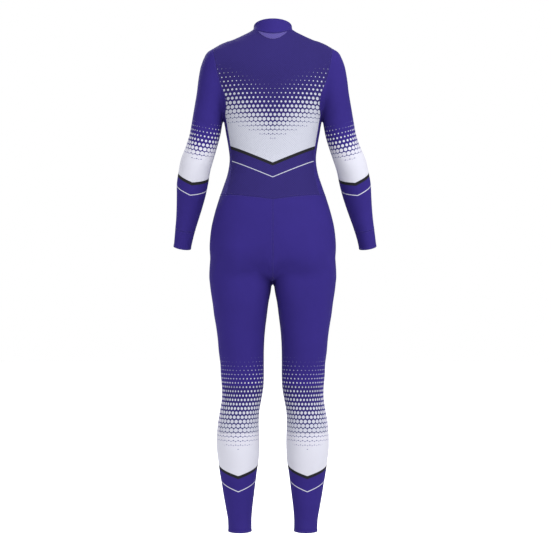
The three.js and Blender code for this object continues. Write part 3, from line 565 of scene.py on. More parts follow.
    def grids_of_arm(self) -> None:
        """Lays the sleeve's rings, from the wrist up to the armhole, and the cuff's."""
        seams = [self.armhole_under[:-1], self.armhole_front[:-1], self.armhole_back[::-1]]
        ring = np.concatenate(seams)
        self.ring_turn = np.arctan2(ring[:, 1] - self.armhole_heart_y, ring[:, 2] - self.armhole_heart_z)
        t = steps(FAN_ROWS)
        foot_z = self.fan_frame(np.array([1.0]))[0][0, 2]
        fan, foot = self.fan_frame(t), self.arm_frame(np.array([foot_z]))
        centre, away, back = (mix(a, b, (t**3)[:, None]) for a, b in zip(fan, foot))
        fan_rings = self.arm_rings((centre, unit(away), unit(back)))
        arm_rings = self.arm_rings(self.arm_frame(mix(foot_z, SLEEVE_END_Z, steps(ARM_ROWS))))
        self.sleeve = settled(np.concatenate([ring[None], fan_rings[1:], arm_rings[1:]]), 3)[::-1]
        _, away, back = self.arm_frame(np.array([SLEEVE_END_Z]))
        cuff_end = SLEEVE_END_Z - CUFF_LENGTH * abs(float(np.cross(back, away)[0, 2]))
        self.cuff = self.arm_rings(self.arm_frame(mix(SLEEVE_END_Z, cuff_end, steps(CUFF_ROWS))))[::-1]

    def leg_rings(self, z: Array) -> Array:
        """Returns a leg's rings, from the inseam by the back, the outside and the front.

        The inseam turns a little to the back on its way down from the fork.
        """
        section = LEG(z)
        start = self.inseam_turn * np.clip((self.fork_z - z) / self.inseam_over, 0, 1)
        angle = start[:, None] + 2 * math.pi * steps(LEG_CELLS)
        out, mid, level = section["out"][:, None], section["mid"][:, None], z[:, None]

        def at(r: Array) -> Array:
            return points(out - r * np.cos(angle), mid + r * np.sin(angle), level)

        return FIGURE.exit(at, angle.shape, self.leg_reach)

    def grids_of_leg(self) -> None:
        """Stretches the seat between the waist and the fork, and lays the rings below it."""

        def fork(degrees: Array) -> Array:
            angle = np.radians(degrees)
            y, z = np.cos(angle), np.sin(angle)
            return FIGURE.exit(lambda r: points(0, CROTCH_Y + r * y, CROTCH_HEART_Z + r * z), angle.shape)

        def degrees_of(p: Array) -> float:
            return math.degrees(math.atan2(p[2] - CROTCH_HEART_Z, p[1] - CROTCH_Y))

        t = steps(SEAT_ROWS)
        seam_back = fork(mix(-90.0, degrees_of(self.waist_back[0]), t))
        seam_front = fork(mix(270.0, degrees_of(self.waist_middle), t))
        self.fork_z = float(seam_back[0, 2])
        ring = self.leg_rings(np.array([self.fork_z - 0.5]))[0]
        ring[0] = ring[-1] = seam_back[0]
        waist = [self.waist_back, self.waist_side[1:], self.waist_front[1:], self.waist_middle[None]]
        seat = stretched(ring, np.concatenate(waist), seam_back, seam_front)
        thigh = self.leg_rings(mix(KNEE_TOP_Z, self.fork_z, steps(THIGH_ROWS)))
        self.trouser = np.concatenate([thigh[:-1], seat])
        knee = self.leg_rings(mix(KNEE_BOTTOM_Z, KNEE_TOP_Z, steps(KNEE_ROWS)))
        self.insert = knee[:, : KNEE_INSERT_CELLS + 1]
        calf = self.leg_rings(mix(ANKLE_Z, KNEE_BOTTOM_Z, steps(CALF_ROWS)))
        self.lower = np.concatenate([calf, knee[1:]])


CUT = Cut()


def refined(grid: Array, breaks: Sequence[int], at: Array) -> Array:
    """Reads a grid between its rows: cubic curves through them, with a corner of the curve at each break.

    Args:
        grid: rows of points.
        breaks: rows where a neighbouring panel ends, so that both read the same curve there.
        at: places between 0 and the last row.

    Returns:
        The rows at those places.
    """
    last = len(grid) - 1
    ends = [0, *(b for b in breaks if 0 < b < last), last]
    out_of, into = np.zeros_like(grid), np.zeros_like(grid)
    for a, b in zip(ends, ends[1:]):
        slope = np.gradient(grid[a : b + 1], axis=0, edge_order=2 if b - a > 1 else 1)
        out_of[a:b], into[a + 1 : b + 1] = slope[:-1], slope[1:]
    k = np.clip(np.floor(at).astype(int), 0, last - 1)
    t = (at - k).reshape(-1, *[1] * (grid.ndim - 1))
    return cubic(grid[k], grid[k + 1], out_of[k], into[k + 1], t)


def along(grid: Array, axis: int) -> Array:
    """Returns how far along its line each point of a grid lies, in millimetres."""
    lengths = np.linalg.norm(np.diff(grid, axis=axis), axis=-1)
    start = np.zeros_like(np.take(lengths, [0], axis))
    return np.concatenate([start, np.cumsum(lengths, axis)], axis)


def grid_faces(rows: int, columns: int, has: Array | None = None, turned: bool = False) -> Array:
    """Returns the four corners of each cell of a grid that has cloth, by point number."""
    corner = np.arange((rows - 1) * columns).reshape(rows - 1, columns)[:, :-1]
    faces = np.stack([corner, corner + 1, corner + columns + 1, corner + columns], axis=-1)
    faces = faces[has] if has is not None else faces.reshape(-1, 4)
    return faces[:, ::-1] if turned else faces


def bands(sides: int, levels: int) -> Array:
    """Returns the corners of the faces between rings of points, each ring above the one before."""
    turn = np.arange(sides)
    band = np.stack([turn, (turn + 1) % sides, (turn + 1) % sides + sides, turn + sides], axis=-1)
    return np.concatenate([band + sides * level for level in range(levels)])


def repeated(faces: Array, count: int, size: int) -> Array:
    """Returns the faces of a block of points, once for each of count blocks of that size."""
    return (np.arange(count)[:, None, None] * size + faces).reshape(-1, 4)


def mesh_object(
    name: str, p: Array, faces: Array, uv: Array | None = None, smooth_faces: bool = True
) -> bpy.types.Object:
    """Puts points and four-cornered faces into a new object at the origin.

    Args:
        name: the piece's name.
        p: the points, in millimetres.
        faces: the faces' corners by point number, turned outwards.
        uv: a place on the cloth for each point, in millimetres.
        smooth_faces: whether the faces are shaded smooth.

    Returns:
        The object, in the scene.
    """
    used, faces = np.unique(faces, return_inverse=True)
    faces = faces.reshape(-1, 4)
    mesh = bpy.data.meshes.new(name)
    mesh.vertices.add(len(used))
    mesh.vertices.foreach_set("co", (p[used] * MM).astype(np.float32).ravel())
    mesh.loops.add(faces.size)
    mesh.loops.foreach_set("vertex_index", faces.astype(np.int32).ravel())
    mesh.polygons.add(len(faces))
    mesh.polygons.foreach_set("loop_start", np.arange(0, faces.size, 4, dtype=np.int32))
    mesh.polygons.foreach_set("use_smooth", np.full(len(faces), smooth_faces))
    if uv is not None:
        layer = mesh.uv_layers.new(name="cloth")
        layer.data.foreach_set("uv", (uv[used][faces.ravel()] * MM).astype(np.float32).ravel())
    mesh.update(calc_edges=True)
    mesh.validate()
    piece = bpy.data.objects.new(name, mesh)
    bpy.context.scene.collection.objects.link(piece)
    return piece


def colour(red: float, green: float, blue: float) -> tuple[float, float, float, float]:
    """Returns the linear colour of screen values from 0 to 255."""
    parts = np.array([red, green, blue]) / 255
    linear = np.where(parts <= 0.04045, parts / 12.92, ((parts + 0.055) / 1.055) ** 2.4)
    return (*(float(v) for v in linear), 1.0)


def darker(base: tuple[float, float, float], share: float) -> tuple[float, float, float, float]:
    """Returns the linear colour of screen values that are each brought down to a share."""
    return colour(*(part * share for part in base))


class Value:
    """A socket of numbers whose arithmetic adds Math nodes."""

    def __init__(self, maker: "Maker", socket: bpy.types.NodeSocket) -> None:
        """Keeps the socket and what makes its nodes."""
        self.maker, self.socket = maker, socket

    def __add__(self, other: "Value | float") -> "Value":
        """Returns the sum."""
        return self.maker.math("ADD", self, other)

    def __sub__(self, other: "Value | float") -> "Value":
        """Returns the difference."""
        return self.maker.math("SUBTRACT", self, other)

    def __rsub__(self, other: float) -> "Value":
        """Returns the difference from a number."""
        return self.maker.math("SUBTRACT", other, self)

    def __mul__(self, other: "Value | float") -> "Value":
        """Returns the product."""
        return self.maker.math("MULTIPLY", self, other)

    def __truediv__(self, other: "Value | float") -> "Value":
        """Returns the quotient."""
        return self.maker.math("DIVIDE", self, other)

    def __mod__(self, other: float) -> "Value":
        """Returns the rest after division, never negative."""
        return self.maker.math("FLOORED_MODULO", self, other)

    def __abs__(self) -> "Value":
        """Returns the size without its sign."""
        return self.maker.math("ABSOLUTE", self)

    __radd__, __rmul__ = __add__, __mul__

    def floor(self) -> "Value":
        """Returns the whole number below."""
        return self.maker.math("FLOOR", self)

    def root(self) -> "Value":
        """Returns the square root."""
        return self.maker.math("SQRT", self)

    def ribs(self) -> "Value":
        """Returns 1 at whole numbers, falling evenly to 0 halfway between them."""
        return abs(self % 1.0 - 0.5) * 2.0

    def above(self, edge: "Value | float", soft: float) -> "Value":
        """Returns 1 above an edge and 0 below it, over a soft width."""
        return self.maker.math("ADD", (self - edge) / soft, 0.5, clamp=True)


class Maker:
    """Makes one material's nodes."""

    def __init__(self, name: str) -> None:
        """Starts an empty material with that name."""
        self.material = bpy.data.materials.new(name)
        self.material.use_nodes = True
        self.tree = self.material.node_tree
        self.tree.nodes.clear()

    def node(self, kind: str, settings: dict | None = None, inputs: dict | None = None) -> bpy.types.Node:
        """Adds a node.

        Args:
            kind: the node's type.
            settings: its properties, set first.
            inputs: a number, colour, socket or Value for each of its inputs, by name or number.

        Returns:
            The node.
        """
        made = self.tree.nodes.new(kind)
        for key, value in (settings or {}).items():
            setattr(made, key, value)
        for key, value in (inputs or {}).items():
            value = value.socket if isinstance(value, Value) else value
            if isinstance(value, bpy.types.NodeSocket):
                self.tree.links.new(value, made.inputs[key])
            else:
                made.inputs[key].default_value = value
        return made

    def math(self, operation: str, *values: "Value | float", clamp: bool = False) -> Value:
        """Adds a Math node and returns its result."""
        settings = {"operation": operation, "use_clamp": clamp}
        return Value(self, self.node("ShaderNodeMath", settings, dict(enumerate(values))).outputs[0])

    def place(self, output: str) -> tuple[Value, Value, Value]:
        """Returns the three numbers of a Texture Coordinate output: "Object" or "UV", in metres."""
        found = self.node("ShaderNodeTexCoord").outputs[output]
        parts = self.node("ShaderNodeSeparateXYZ", inputs={0: found}).outputs
        return Value(self, parts[0]), Value(self, parts[1]), Value(self, parts[2])

    def noise(self, scale: float, detail: float = 2.0, output: str = "Object") -> Value:
        """Returns soft noise from 0 to 1 at a scale per metre."""
        found = self.node("ShaderNodeTexCoord").outputs[output]
        inputs = {"Vector": found, "Scale": scale, "Detail": detail}
        return Value(self, self.node("ShaderNodeTexNoise", inputs=inputs).outputs[0])

    def mixed(self, share: Value, a: object, b: object) -> bpy.types.NodeSocket:
        """Returns the colour a share of the way from a to b."""
        inputs = {0: share, 6: a, 7: b}
        return self.node("ShaderNodeMix", {"data_type": "RGBA"}, inputs).outputs[2]

    def finish(self, shader_inputs: dict, bump: Value | None = None, depth: float = 0.0) -> bpy.types.Material:
        """Ends the material with one shader, and a bump of a depth in metres under it."""
        shader = self.node("ShaderNodeBsdfPrincipled", inputs=shader_inputs)
        if bump is not None:
            inputs = {"Height": bump, "Distance": depth, "Strength": 1.0}
            self.tree.links.new(self.node("ShaderNodeBump", inputs=inputs).outputs[0], shader.inputs["Normal"])
        self.node("ShaderNodeOutputMaterial", inputs={"Surface": shader.outputs[0]})
        return self.material


def dot_centre(across: Value, up: Value, wide: float, tall: float) -> tuple[Value, Value]:
    """Returns the middle of the cell that a place lies in, of cells in staggered rows.

    Args:
        across: the place across, in metres.
        up: the place up, in metres.
        wide: the cells' width.
        tall: the rows' height.
    """
    row = (up / tall).floor()
    shift = (row % 2.0) * 0.5
    return ((across / wide + shift).floor() + 0.5 - shift) * wide, (row + 0.5) * tall


def dots(place: tuple[Value, Value], centre: tuple[Value, Value], radius: "Value | float", soft: float) -> Value:
    """Returns 1 on round dots and 0 between them: whether the distance from the cell's middle is below a radius.

    Args:
        place: the place across and up, in metres.
        centre: the middle of its cell.
        radius: the dots' radius.
        soft: how wide their edge is.
    """
    x, y = place[0] - centre[0], place[1] - centre[1]
    return 1.0 - (x * x + y * y).root().above(radius, soft)


class Limb(Enum):
    """Which part of the body a print goes round."""

    NONE = "none"
    BACK = "back"
    ARM_L = "arm_l"
    ARM_R = "arm_r"
    LEG_L = "leg_l"
    LEG_R = "leg_r"

    @property
    def side(self) -> float:
        """1 on the wearer's left and -1 on the right."""
        return -1.0 if self.value.endswith("r") else 1.0


@dataclass(frozen=True)
class Hoop:
    """A printed hoop, in metres along its limb: a white band with a vee at the back, a black line at its foot, a
    pinstripe below and rows of dots above that fade out."""

    low: float
    high: float
    fade: float
    vee: float
    around: float
    black: float = 0.0085
    pin: float = 0.030
    pin_width: float = 0.0022
    dot: float = 0.0115
    dot_reach: float = 0.6
    soft: float = 0.0006

    def masks(self, up: Value, turn: Value) -> tuple[Value, Value]:
        """Returns where the white and the black ink lie.

        Args:
            up: the place along the limb.
            turn: the place round it from the middle of the back, in metres.
        """
        wide = self.around / max(round(self.around / self.dot), 1)
        centre = dot_centre(turn, up, wide, self.dot)
        over = centre[1] - abs(centre[0]) * self.vee - self.high
        radius = (1.0 - over / self.fade) * (self.dot * self.dot_reach)
        spots = dots((turn, up), centre, radius, self.soft) * (1.0 - over.above(self.fade, self.soft))
        up = up - abs(turn) * self.vee
        spots = spots * up.above(self.low, self.soft)
        band = up.above(self.low, self.soft) * (1.0 - up.above(self.high, self.soft))
        black = up.above(self.low - self.black, self.soft) * (1.0 - up.above(self.low, self.soft))
        line = self.low - self.black - self.pin
        pin = up.above(line - self.pin_width, self.soft) * (1.0 - up.above(line, self.soft))
        return self.united(band, pin, spots), black

    @staticmethod
    def united(*masks: Value) -> Value:
        """Returns the largest of several masks."""
        found = masks[0]
        for mask in masks[1:]:
            found = found.maker.math("MAXIMUM", found, mask)
        return found


BACK_HOOP = Hoop(low=-0.352, high=-0.292, fade=0.150, vee=0.42, around=1.15)
ARM_HOOP = Hoop(low=0.142, high=0.202, fade=0.098, vee=0.30, around=0.276, pin=0.026)
LEG_HOOP = Hoop(low=-1.200, high=-1.128, fade=0.240, vee=0.34, around=0.368, pin=0.034)

# An arm's axis for its print: the wrist end, and the middle at the elbow
ARM_FOOT, ARM_ELBOW = (0.243, -0.026, -0.535), (0.205, 0.004, -0.330)
LEG_MIDDLE = (0.0935, 0.008)


def print_masks(maker: Maker, limb: Limb) -> tuple[Value, Value]:
    """Returns where a limb's white and black ink lie, from Object coordinates."""
    x, y, z = maker.place("Object")
    if limb is Limb.BACK:
        return BACK_HOOP.masks(z, x)
    if limb in (Limb.LEG_L, Limb.LEG_R):
        across = x * limb.side - LEG_MIDDLE[0]
        turn = maker.math("ARCTAN2", across, y - LEG_MIDDLE[1]) * (LEG_HOOP.around / (2 * math.pi))
        return LEG_HOOP.masks(z, turn)
    foot, elbow = np.array(ARM_FOOT), np.array(ARM_ELBOW)
    if limb is Limb.ARM_R:
        foot, elbow = foot + [0.0107, 0, 0], elbow + [0.002, 0, 0]
    axis = unit(elbow - foot)
    across = np.cross([0.0, 1.0, 0.0], axis)
    back = np.cross(axis, across)

    def reading(way: Array) -> Value:
        shift = -float(np.dot(foot, way))
        return x * (float(way[0]) * limb.side) + y * float(way[1]) + z * float(way[2]) + shift

    turn = maker.math("ARCTAN2", reading(across), reading(back)) * (ARM_HOOP.around / (2 * math.pi))
    return ARM_HOOP.masks(reading(axis), turn)


@dataclass(frozen=True)
class ClothFinish:
    """A knit's look: its colours, its stitch and its sheen."""

    name: str
    base: tuple[float, float, float]
    white: tuple[float, float, float]
    open_knit: bool
    limb: Limb = Limb.NONE
    stitch: float = 0.0012
    hole_wide: float = 0.0063
    hole_tall: float = 0.0032
    hole: float = 0.0009
    hole_soft: float = 0.0006
    stitch_depth: float = 0.00012
    hole_depth: float = 0.0003
    # Shares of the base colour in the dimmest spots and in the pits, and how strongly the pits show in each colour
    dim: float = 0.8
    pit_dark: float = 0.55
    pit_strength: float = 0.55
    pit_on_white: float = 0.75
    pit_in_print: tuple[float, float, float] = (128, 126, 146)
    black: tuple[float, float, float] = (30, 30, 33)
    # Roughness: of plain cloth, how much it varies, and what the pits add and the ink takes off
    rough: tuple[float, float, float, float] = (0.6, 0.12, 0.2, 0.08)
    gloss: float = 0.012

    def material(self) -> bpy.types.Material:
        """Builds the cloth: ribs of stitches, the mesh's pits where it has them, and its print."""
        maker = Maker(self.name)
        u, v, _ = maker.place("UV")
        wale = (u / self.stitch + (v / self.stitch).floor() % 2.0 * 0.5).ribs()
        course = (v / self.stitch).ribs()
        height, depth = (1.0 - wale * wale) * 0.7 + (1.0 - course) * 0.3, self.stitch_depth
        broad, fine = maker.noise(9.0), maker.noise(900.0, 1.0)
        base = maker.mixed(broad * 0.5 + fine * 0.3, colour(*self.base), darker(self.base, self.dim))
        white: object = colour(*self.white)
        plain, varied, pitted, inked = self.rough
        rough = plain + fine * varied
        if self.open_knit:
            pits = dots((u, v), dot_centre(u, v, self.hole_wide, self.hole_tall), self.hole, self.hole_soft)
            base = maker.mixed(pits * self.pit_strength, base, darker(self.base, self.pit_dark))
            white = maker.mixed(pits * self.pit_on_white, white, colour(*self.pit_in_print))
            height, depth = height * 0.4 - pits, self.hole_depth
            rough = rough + pits * pitted
        if self.limb is not Limb.NONE:
            ink, black = print_masks(maker, self.limb)
            base = maker.mixed(ink, base, white)
            base = maker.mixed(black, base, colour(*self.black))
            rough = rough - ink * inked
        inputs = {"Base Color": base, "Roughness": rough, "Specular IOR Level": self.gloss}
        return maker.finish(inputs, height, depth)


@dataclass(frozen=True)
class InnerFinish:
    """The cloth's brushed inner side, without print."""

    name: str = "knit_inside"
    base: tuple[float, float, float] = (52, 44, 112)

    def material(self) -> bpy.types.Material:
        """Builds the inner side: soft, dull and a little uneven."""
        maker = Maker(self.name)
        nap = maker.noise(700.0, 3.0)
        base = maker.mixed(nap, colour(*self.base), darker(self.base, 0.8))
        return maker.finish({"Base Color": base, "Roughness": 0.85, "Specular IOR Level": 0.2}, nap, 0.0003)


@dataclass(frozen=True)
class TapeFinish:
    """The zip's woven tape."""

    name: str
    pitch: float = 0.0008

    def material(self) -> bpy.types.Material:
        """Builds the tape: a black twill whose ribs run at a slant."""
        maker = Maker(self.name)
        u, v, _ = maker.place("UV")
        rib = ((u + v) / self.pitch).ribs()
        base = maker.mixed(rib, colour(22, 22, 25), colour(38, 38, 43))
        return maker.finish({"Base Color": base, "Roughness": 0.75, "Specular IOR Level": 0.3}, rib, 0.00015)


@dataclass(frozen=True)
class ThreadFinish:
    """Polyester sewing thread, twisted."""

    name: str
    base: tuple[float, float, float]
    pitch: float = 0.0005

    def material(self) -> bpy.types.Material:
        """Builds the thread: even in colour, with a slanted twist."""
        maker = Maker(self.name)
        x, y, z = maker.place("Object")
        twist = ((x + y + z) / self.pitch).ribs()
        base = maker.mixed(twist * 0.6, colour(*self.base), darker(self.base, 0.7))
        inputs = {"Base Color": base, "Roughness": 0.45, "Specular IOR Level": 0.4}
        return maker.finish(inputs, twist, 0.00008)


@dataclass(frozen=True)
class MetalFinish:
    """Dark plated zip metal, rubbed a little at random."""

    name: str = "dark_zip_metal"

    def material(self) -> bpy.types.Material:
        """Builds the metal: nearly black, with fine scratches and a varying gloss."""
        maker = Maker(self.name)
        wear, fine = maker.noise(260.0, 4.0), maker.noise(2500.0, 2.0)
        base = maker.mixed(wear, colour(40, 40, 44), colour(84, 84, 90))
        inputs = {"Base Color": base, "Metallic": 0.9, "Roughness": wear * 0.25 + 0.25}
        return maker.finish(inputs, fine, 0.00003)


@dataclass(frozen=True)
class ToothFinish:
    """The zip teeth's moulded plastic."""

    name: str = "tooth_plastic"

    def material(self) -> bpy.types.Material:
        """Builds the plastic: black with a satin gloss."""
        maker = Maker(self.name)
        fine = maker.noise(1500.0, 2.0)
        base = maker.mixed(fine, colour(20, 20, 22), colour(34, 34, 38))
        return maker.finish({"Base Color": base, "Roughness": fine * 0.2 + 0.3}, fine, 0.00004)


@dataclass(frozen=True)
class Crease:
    """A soft trough or ridge across the cloth, on the wearer's left and mirrored on the right."""

    start: tuple[float, float, float]
    end: tuple[float, float, float]
    bow: float
    width: float
    depth: float

    def path(self) -> Array:
        """Returns nine points from start to end on the figure, bowed up or down in the middle."""
        t = np.linspace(0, 1, 9)
        line = mix(np.array(self.start), np.array(self.end), t[:, None])
        line[:, 2] += self.bow * np.sin(math.pi * t)
        return FIGURE.laid(line, 20)

    def sink(self, p: Array) -> Array:
        """Returns how far points sink: the depth times a bell across the line, dying out at its ends."""
        way = self.path()
        best = np.full(p.shape[:-1], 1e9)
        at = np.zeros(p.shape[:-1])
        for k, (a, b) in enumerate(zip(way, way[1:])):
            run = b - a
            share = np.clip(((p - a) @ run) / (run @ run), 0, 1)
            off = np.linalg.norm(p - a - share[..., None] * run, axis=-1)
            nearer = off < best
            best, at = np.where(nearer, off, best), np.where(nearer, (k + share) / 8, at)
        return self.depth * np.exp(-((best / self.width) ** 2)) * np.sin(math.pi * at) ** 0.7


# Start, end, bow, width and depth of each crease; a ridge has a depth below 0. Those on the back are faint, apart
# from the fold under the seat, because the cloth is stretched there. The front has its own where the body bends.
CREASES = [Crease(*row) for row in (
    ((128, 62, -205), (150, 70, -150), 4, 9, 1.5),
    ((118, 74, -232), (140, 82, -178), 5, 11, -1.0),
    ((136, 40, -236), (172, 50, -205), -4, 8, 1.6),
    ((150, 28, -262), (204, 44, -232), -5, 9, 1.2),
    ((120, 62, -352), (88, 74, -366), -4, 10, 0.9),
    ((122, 60, -386), (70, 80, -402), -5, 12, -0.8),
    ((4, 116, -640), (150, 80, -634), -20, 34, 12.0),
    ((14, 112, -640), (96, 116, -646), -14, 13, 1.6),
    ((40, 50, -1004), (120, 52, -1012), -6, 9, 0.9),
    ((44, 52, -1034), (124, 56, -1040), -5, 11, -0.8),
    ((62, 42, -1322), (118, 44, -1316), -4, 8, 0.8),
    ((216, 46, -352), (184, 44, -330), 4, 8, 1.0),
    ((190, -40, -322), (232, -38, -338), -6, 8, 2.0),
    ((182, -40, -346), (240, -38, -352), -7, 8, 2.4),
    ((188, -40, -372), (244, -34, -366), -5, 9, 1.8),
    ((192, -40, -338), (236, -40, -360), 4, 9, -1.2),
    ((126, -70, -205), (150, -66, -150), 5, 9, 2.0),
    ((110, -92, -236), (140, -74, -186), 6, 10, -1.4),
    ((136, -40, -238), (172, -44, -208), -4, 8, 1.8),
    ((14, -92, -398), (110, -70, -384), -6, 11, 1.2),
    ((20, -96, -424), (96, -84, -420), 5, 12, -1.0),
    ((16, -98, -594), (120, -92, -560), 10, 13, 2.2),
    ((20, -90, -626), (110, -92, -600), 9, 12, 1.8),
    ((26, -80, -654), (96, -90, -642), 6, 12, -1.3),
    ((46, -60, -982), (116, -60, -990), -5, 10, 1.1),
    ((44, -58, -1040), (124, -56, -1034), 5, 10, 1.3),
    ((62, -30, -1300), (116, -32, -1306), -5, 8, 1.6),
    ((64, -30, -1326), (114, -30, -1322), 4, 8, -1.0),
    ((232, -40, -470), (262, -36, -478), -4, 7, 1.2),
)]


@dataclass(frozen=True)
class Threads:
    """Rows of stitches: short threads that dip into the cloth at both ends."""

    pitch: float = 3.2
    length: float = 2.5
    radius: float = 0.26
    lift: float = 0.16
    end_dip: float = 0.12
    end_share: float = 0.45
    rings: tuple[float, ...] = (0.0, 0.18, 0.82, 1.0)

    def stitched(self, lines: Sequence[Array]) -> tuple[Array, Array]:
        """Returns the points and faces of the stitches along lines on the cloth.

        Each stitch is a four-sided bar through four rings, the middle two raised and full, the end ones sunk and
        thin. Its rings are squares square to the line, turned a corner outwards.

        Args:
            lines: rows of points and outward directions, six numbers each.
        """
        all_points = []
        for line in lines:
            place, out = line[:, :3], unit(line[:, 3:])
            run = np.concatenate([[0.0], np.cumsum(np.linalg.norm(np.diff(place, axis=0), axis=-1))])
            count = int(run[-1] // self.pitch)
            if count < 1:
                continue
            first = (np.arange(count) + 0.5) * run[-1] / count - self.length / 2
            at = first[:, None] + np.array(self.rings) * self.length
            spot = np.stack([np.interp(at, run, place[:, c]) for c in range(3)], axis=-1)
            up = unit(np.stack([np.interp(at, run, out[:, c]) for c in range(3)], axis=-1))
            ahead = unit(spot[:, -1] - spot[:, 0])[:, None]
            across = unit(np.cross(up, ahead))
            full = np.array([0.0, 1.0, 1.0, 0.0])[None, :, None]
            size, rise = mix(self.end_share, 1.0, full) * self.radius, mix(-self.end_dip, self.lift, full)
            centre = spot + up * rise
            ring = [centre + up * size, centre + across * size, centre - up * size, centre - across * size]
            all_points.append(np.stack(ring, axis=2).reshape(-1, 3))
        p = np.concatenate(all_points)
        faces = np.concatenate([bands(4, 3), [[3, 2, 1, 0], [12, 13, 14, 15]]])
        return p, repeated(faces, len(p) // 16, 16)


def in_from(grid: Array, distance: float, axis: int, end: bool) -> Array:
    """Returns the line that runs beside a grid's edge, a distance in from it along the grid's lines.

    Args:
        grid: rows of points, or of points with their outward directions.
        distance: how far in.
        axis: 0 for the bottom or top edge, 1 for the left or right one.
        end: whether it is the top or right edge.
    """
    lines = np.moveaxis(grid, axis, 0)
    lines = lines[::-1] if end else lines
    lines = lines[: min(len(lines), 14)]
    far = along(lines[..., :3], 0)
    k = np.clip((far <= distance).sum(0) - 1, 0, len(lines) - 2)
    each = np.arange(lines.shape[1])
    share = (distance - far[k, each]) / np.maximum(far[k + 1, each] - far[k, each], 1e-9)
    return mix(lines[k, each], lines[k + 1, each], np.clip(share, 0, 1)[:, None])


class Wardrobe:
    """The finishes, each built the first time that a piece wants it."""

    def __init__(self) -> None:
        """Starts with nothing built."""
        self.built: dict[str, bpy.types.Material] = {}

    def of(self, finish: object) -> bpy.types.Material:
        """Returns the finish's material, building it the first time."""
        name = finish.name
        if name not in self.built:
            self.built[name] = finish.material()
        return self.built[name]


WARDROBE = Wardrobe()
THREADS = {"purple_thread": (47, 37, 110), "pale_thread": (84, 75, 142), "black_thread": (34, 34, 38)}


class Fabric(Enum):
    """What the panels are cut from, by the record's slots."""

    PLAIN = "plain_knit"
    MESH = "mesh_knit"
    LIGHT = "light_mesh"
    TAPE = "zip_tape"

    def finish(self, limb: Limb) -> "ClothFinish | TapeFinish":
        """Returns the fabric's look with a limb's print on it."""
        name = self.value if limb is Limb.NONE else f"{self.value}_{limb.value}"
        if self is Fabric.PLAIN:
            return ClothFinish(name, (43, 34, 102), (168, 168, 178), False, limb)
        if self is Fabric.MESH:
            return ClothFinish(name, (42, 35, 92), (158, 160, 170), True, limb)
        if self is Fabric.LIGHT:
            return ClothFinish(name, (77, 69, 130), (158, 160, 170), True, limb, hole=0.0011)
        return TapeFinish(name)


